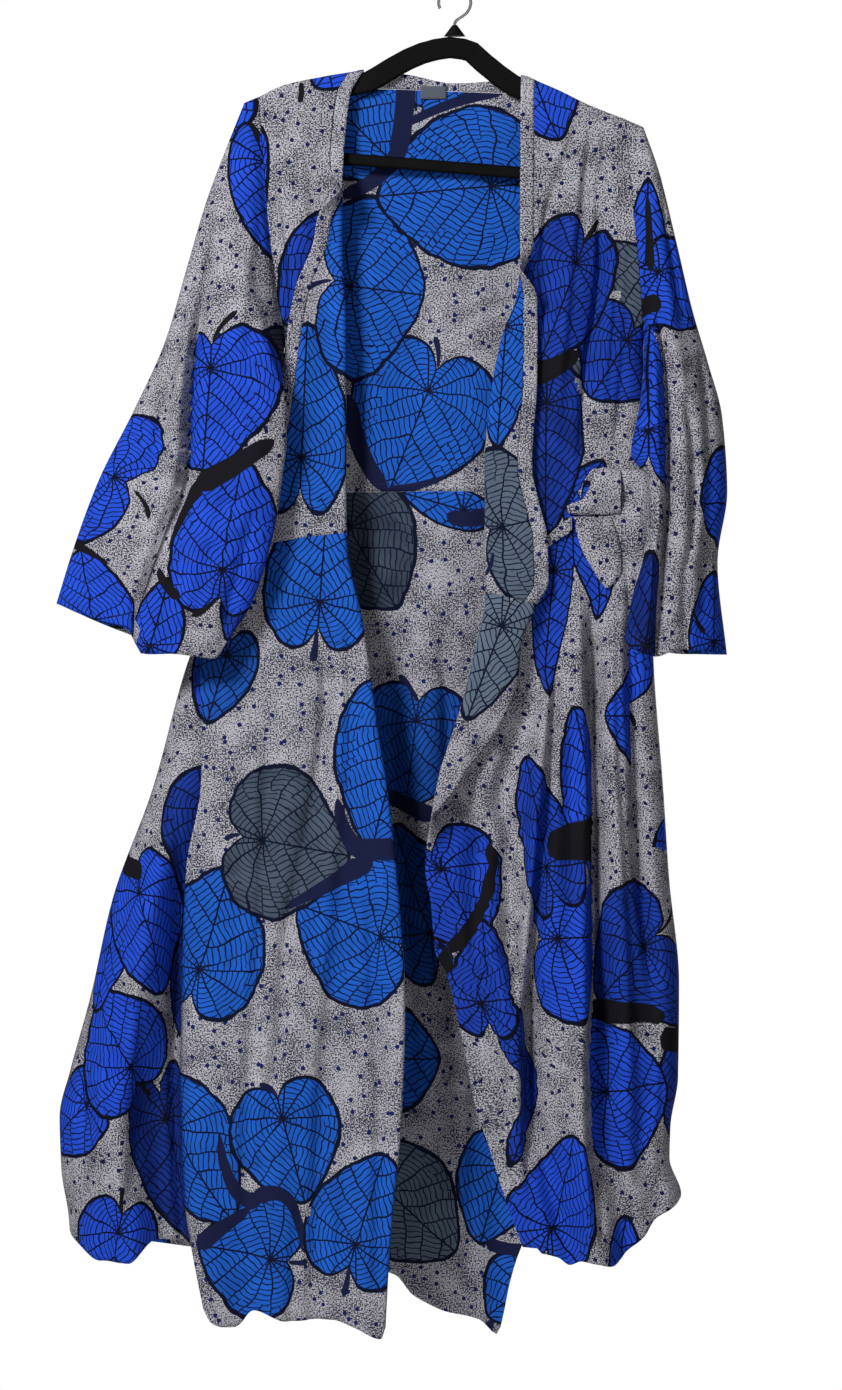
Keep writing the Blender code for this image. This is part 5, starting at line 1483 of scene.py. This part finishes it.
def cotton(name, inks, printed, leaf):
    finish, t, surface = new_finish(name, Roughness=0.86, Specular_IOR_Level=0.1)
    cloth = read_map(t, "cloth")
    colour = speckle(t, cloth, inks)
    if printed:
        # Patches of darker leaf: partly the print's uneven tone, partly painted shade of small folds.
        uneven_tone_and_painted_shade = t.noise(cloth, SHADE_SCALE, 3.0)
        for layer in "ba":
            facts = read_fact(t, "size_" + layer)
            group = t.add("ShaderNodeGroup", node_tree=leaf)
            t.put(read_map(t, "leaf_" + layer), group.inputs["Place"])
            t.put(facts, group.inputs["Size"])
            t.put(cloth, group.inputs["Cloth"])
            tone = t.parts(facts)[2]
            filled = t.mix(t.times(tone, 1.0, clamp=True), inks.blue, inks.slate)
            # A tone below 0 or above 1 mixes the leaf towards the line ink: painted shade on leaves that
            # lie in shadow.
            past = t.larger(t.times(tone, -1.0), t.minus(tone, 1.0))
            shade = t.times_plus(uneven_tone_and_painted_shade, SHADE_DEPTH, t.larger(past, 0.0), clamp=True)
            filled = t.mix(shade, filled, inks.line)
            colour = t.mix(group.outputs["Inside"], colour, filled)
            colour = t.mix(group.outputs["Line"], colour, inks.line)
        for layer in "ab":
            across, along = t.parts(read_map(t, "stem_" + layer))[:2]
            from_end = t.minus(0.5, t.bare(t.minus(along, 0.5)))
            limit = t.math("SQRT", t.times(from_end, 7.0, clamp=True))
            stem = t.times(t.within(across, limit, 0.1), t.above(from_end, 0.0))
            colour = t.mix(stem, colour, inks.stem)
    t.put(t.mix(t.times(sewing(t), THREAD_SHARE), colour, THREAD), surface["Base Color"])
    t.put(weave_bump(t, cloth), surface["Normal"])
    return finish


def sewing(t):
    """Rows of stitches beside a front's free edge and above a lower edge."""
    from_edge, from_foot = t.parts(read_fact(t, "edges"))[:2]
    x, y = t.parts(read_map(t, "cloth"))[:2]
    rows_sewn = []
    for distance, seam, along in ((from_edge, EDGE_SEAM, y), (from_foot, HEM_SEAM, x)):
        dash = t.above(t.math("FRACT", t.times(along, 1 / STITCH)), STITCH_GAP)
        rows_sewn.append(t.times(t.within(t.minus(distance, seam), THREAD_HALF, THREAD_SOFT), dash))
    return t.larger(*rows_sewn)


def label_finish():
    finish, t, surface = new_finish("label_tape_weave", Roughness=0.7)
    cloth = read_map(t, "cloth")
    ribs = t.times_plus(t.wave(t.parts(cloth)[1], RIB_STEP), 0.3, 0.5)
    t.put(t.mix(ribs, (0.045, 0.055, 0.085, 1), (0.085, 0.095, 0.13, 1)), surface["Base Color"])
    t.put(weave_bump(t, cloth, 0.15), surface["Normal"])
    return finish


def black_plastic():
    """Matt moulded plastic with a fine grain."""
    finish, t, surface = new_finish("hanger_black", Roughness=0.6, Specular_IOR_Level=0.05)
    spot = t.object_place()
    scuff = t.noise(spot, 35.0, 4.0)
    t.put(t.mix(scuff, (0.002, 0.002, 0.002, 1), (0.005, 0.005, 0.005, 1)), surface["Base Color"])
    t.put(t.bump(t.noise(spot, 1800.0), 0.2, 0.0002), surface["Normal"])
    return finish


def hook_steel():
    """Drawn steel wire, plated, with fine lengthwise marks."""
    finish, t, surface = new_finish("hook_plated", Metallic=1.0)
    marks = t.noise(t.object_place(), 260.0, 4.0)
    t.put(t.mix(marks, (0.52, 0.52, 0.53, 1), (0.66, 0.66, 0.67, 1)), surface["Base Color"])
    t.put(t.times_plus(marks, 0.16, 0.2), surface["Roughness"])
    return finish


def floor_paint():
    finish, t, surface = new_finish("floor_paint", Roughness=0.9)
    t.put(t.mix(t.noise(t.object_place(), 2.0), (0.86, 0.86, 0.86, 1), (0.89, 0.89, 0.89, 1)),
          surface["Base Color"])
    return finish


def make_studio():
    """The floor, the pale world, the lights and the camera."""
    mesh = bpy.data.meshes.new("floor")
    corners = ((-1, -1), (1, -1), (1, 1), (-1, 1))
    mesh.from_pydata([(x * FLOOR_HALF, y * FLOOR_HALF, FLOOR_Z) for x, y in corners], [], [(0, 1, 2, 3)])
    mesh.materials.append(floor_paint())
    floor = add_object("floor", mesh)

    world = bpy.data.worlds.new("studio")
    world.use_nodes = True
    t = Tree(world.node_tree)
    background = world.node_tree.nodes["Background"]
    background.inputs["Color"].default_value = (1, 1, 1, 1)
    seen = t.add("ShaderNodeLightPath").outputs["Is Camera Ray"]
    t.put(t.times_plus(seen, SURROUND_SEEN - SURROUND_LIGHT, SURROUND_LIGHT),
          background.inputs["Strength"])
    bpy.context.scene.world = world

    for name, spot, size, power in LIGHTS:
        lamp = bpy.data.lights.new(name, "AREA")
        lamp.shape = "RECTANGLE"
        lamp.size, lamp.size_y = size
        lamp.energy = power
        holder = add_object(name, lamp)
        holder.location = spot
        aim = mathutils.Vector(LOOK_AT) - mathutils.Vector(spot)
        holder.rotation_euler = aim.to_track_quat("-Z", "Y").to_euler()

    lens = bpy.data.cameras.new("camera")
    lens.lens = FOCAL_LENGTH
    lens.sensor_width = SENSOR
    lens.dof.use_dof = False
    camera = add_object("camera", lens)
    camera.location = (LOOK_AT[0], LOOK_AT[1] - CAMERA_DISTANCE, LOOK_AT[2])
    camera.rotation_euler = (HALF_TURN, 0, 0)
    bpy.context.scene.camera = camera
    bpy.context.scene.view_settings.view_transform = "Standard"


def dress_hanger():
    """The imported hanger's nodes stay as they are, in better finishes."""
    plastic, steel = black_plastic(), hook_steel()
    for node, finish in (("hanger_arms", plastic), ("hanger_bar", plastic), ("hanger_neck", plastic),
                         ("hanger_hook", steel)):
        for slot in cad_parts[node].material_slots:
            slot.material = finish


leaf = leaf_group()
PRINT = (cotton("print_outer", OUTER_INKS, True, leaf), cotton("print_inner", INNER_INKS, True, leaf))
BANDS = (cotton("band_outer", OUTER_INKS, False, leaf), cotton("band_inner", INNER_INKS, False, leaf))
TIES = (cotton("tie_cloth", OUTER_INKS, False, leaf),)
LABELS = (label_finish(),)

make_studio()
dress_hanger()
make_back()
left_outer = (LEFT_OUTER_LEAVES, LEFT_OUTER_STEMS)
left_outer_seam = curve(LEFT_WAIST, "drop", 0.5, "along")
make_front(-1, "left", LEFT_EDGE, LEFT_FOLDS, LEFT_FLAP_FOLDS, LEFT_WAIST, LEFT_HEM,
           (((None, cut_from(left_outer, left_outer_seam, True)),),
            ((None, cut_from(left_outer, left_outer_seam, False)),)),
           (LEFT_FLAP_LEAVES, LEFT_FLAP_STEMS),
           (LEFT_LONG_FOLDS, LEFT_CREASES), LEFT_SHIFTS)
make_front(1, "right", RIGHT_EDGE, RIGHT_FOLDS, (), RIGHT_WAIST, RIGHT_HEM,
           (((None, RIGHT_OUTER),),
            ((RIGHT_SKIRT_FOLD, RIGHT_SKIRT_NEAR), (RIGHT_SKIRT_OUTER_FOLD, RIGHT_SKIRT_MIDDLE),
             (None, RIGHT_SKIRT_FAR))),
           (LAPEL_LEAVES, LAPEL_STEMS),
           (RIGHT_LONG_FOLDS, RIGHT_CREASES), RIGHT_SHIFTS)
make_sleeve(-1, "left_sleeve", LEFT_SLEEVE, LEFT_CUFF, LEFT_SLEEVE_FOLD,
            (LEFT_SLEEVE_OUTER, LEFT_SLEEVE_INNER), (LEFT_SLEEVE_LONG_FOLDS, LEFT_SLEEVE_CREASES))
make_sleeve(1, "right_sleeve", RIGHT_SLEEVE, RIGHT_CUFF, RIGHT_SLEEVE_FOLD,
            (RIGHT_SLEEVE_INNER, RIGHT_SLEEVE_OUTER), (RIGHT_SLEEVE_LONG_FOLDS, RIGHT_SLEEVE_CREASES))
make_tie()
make_label()
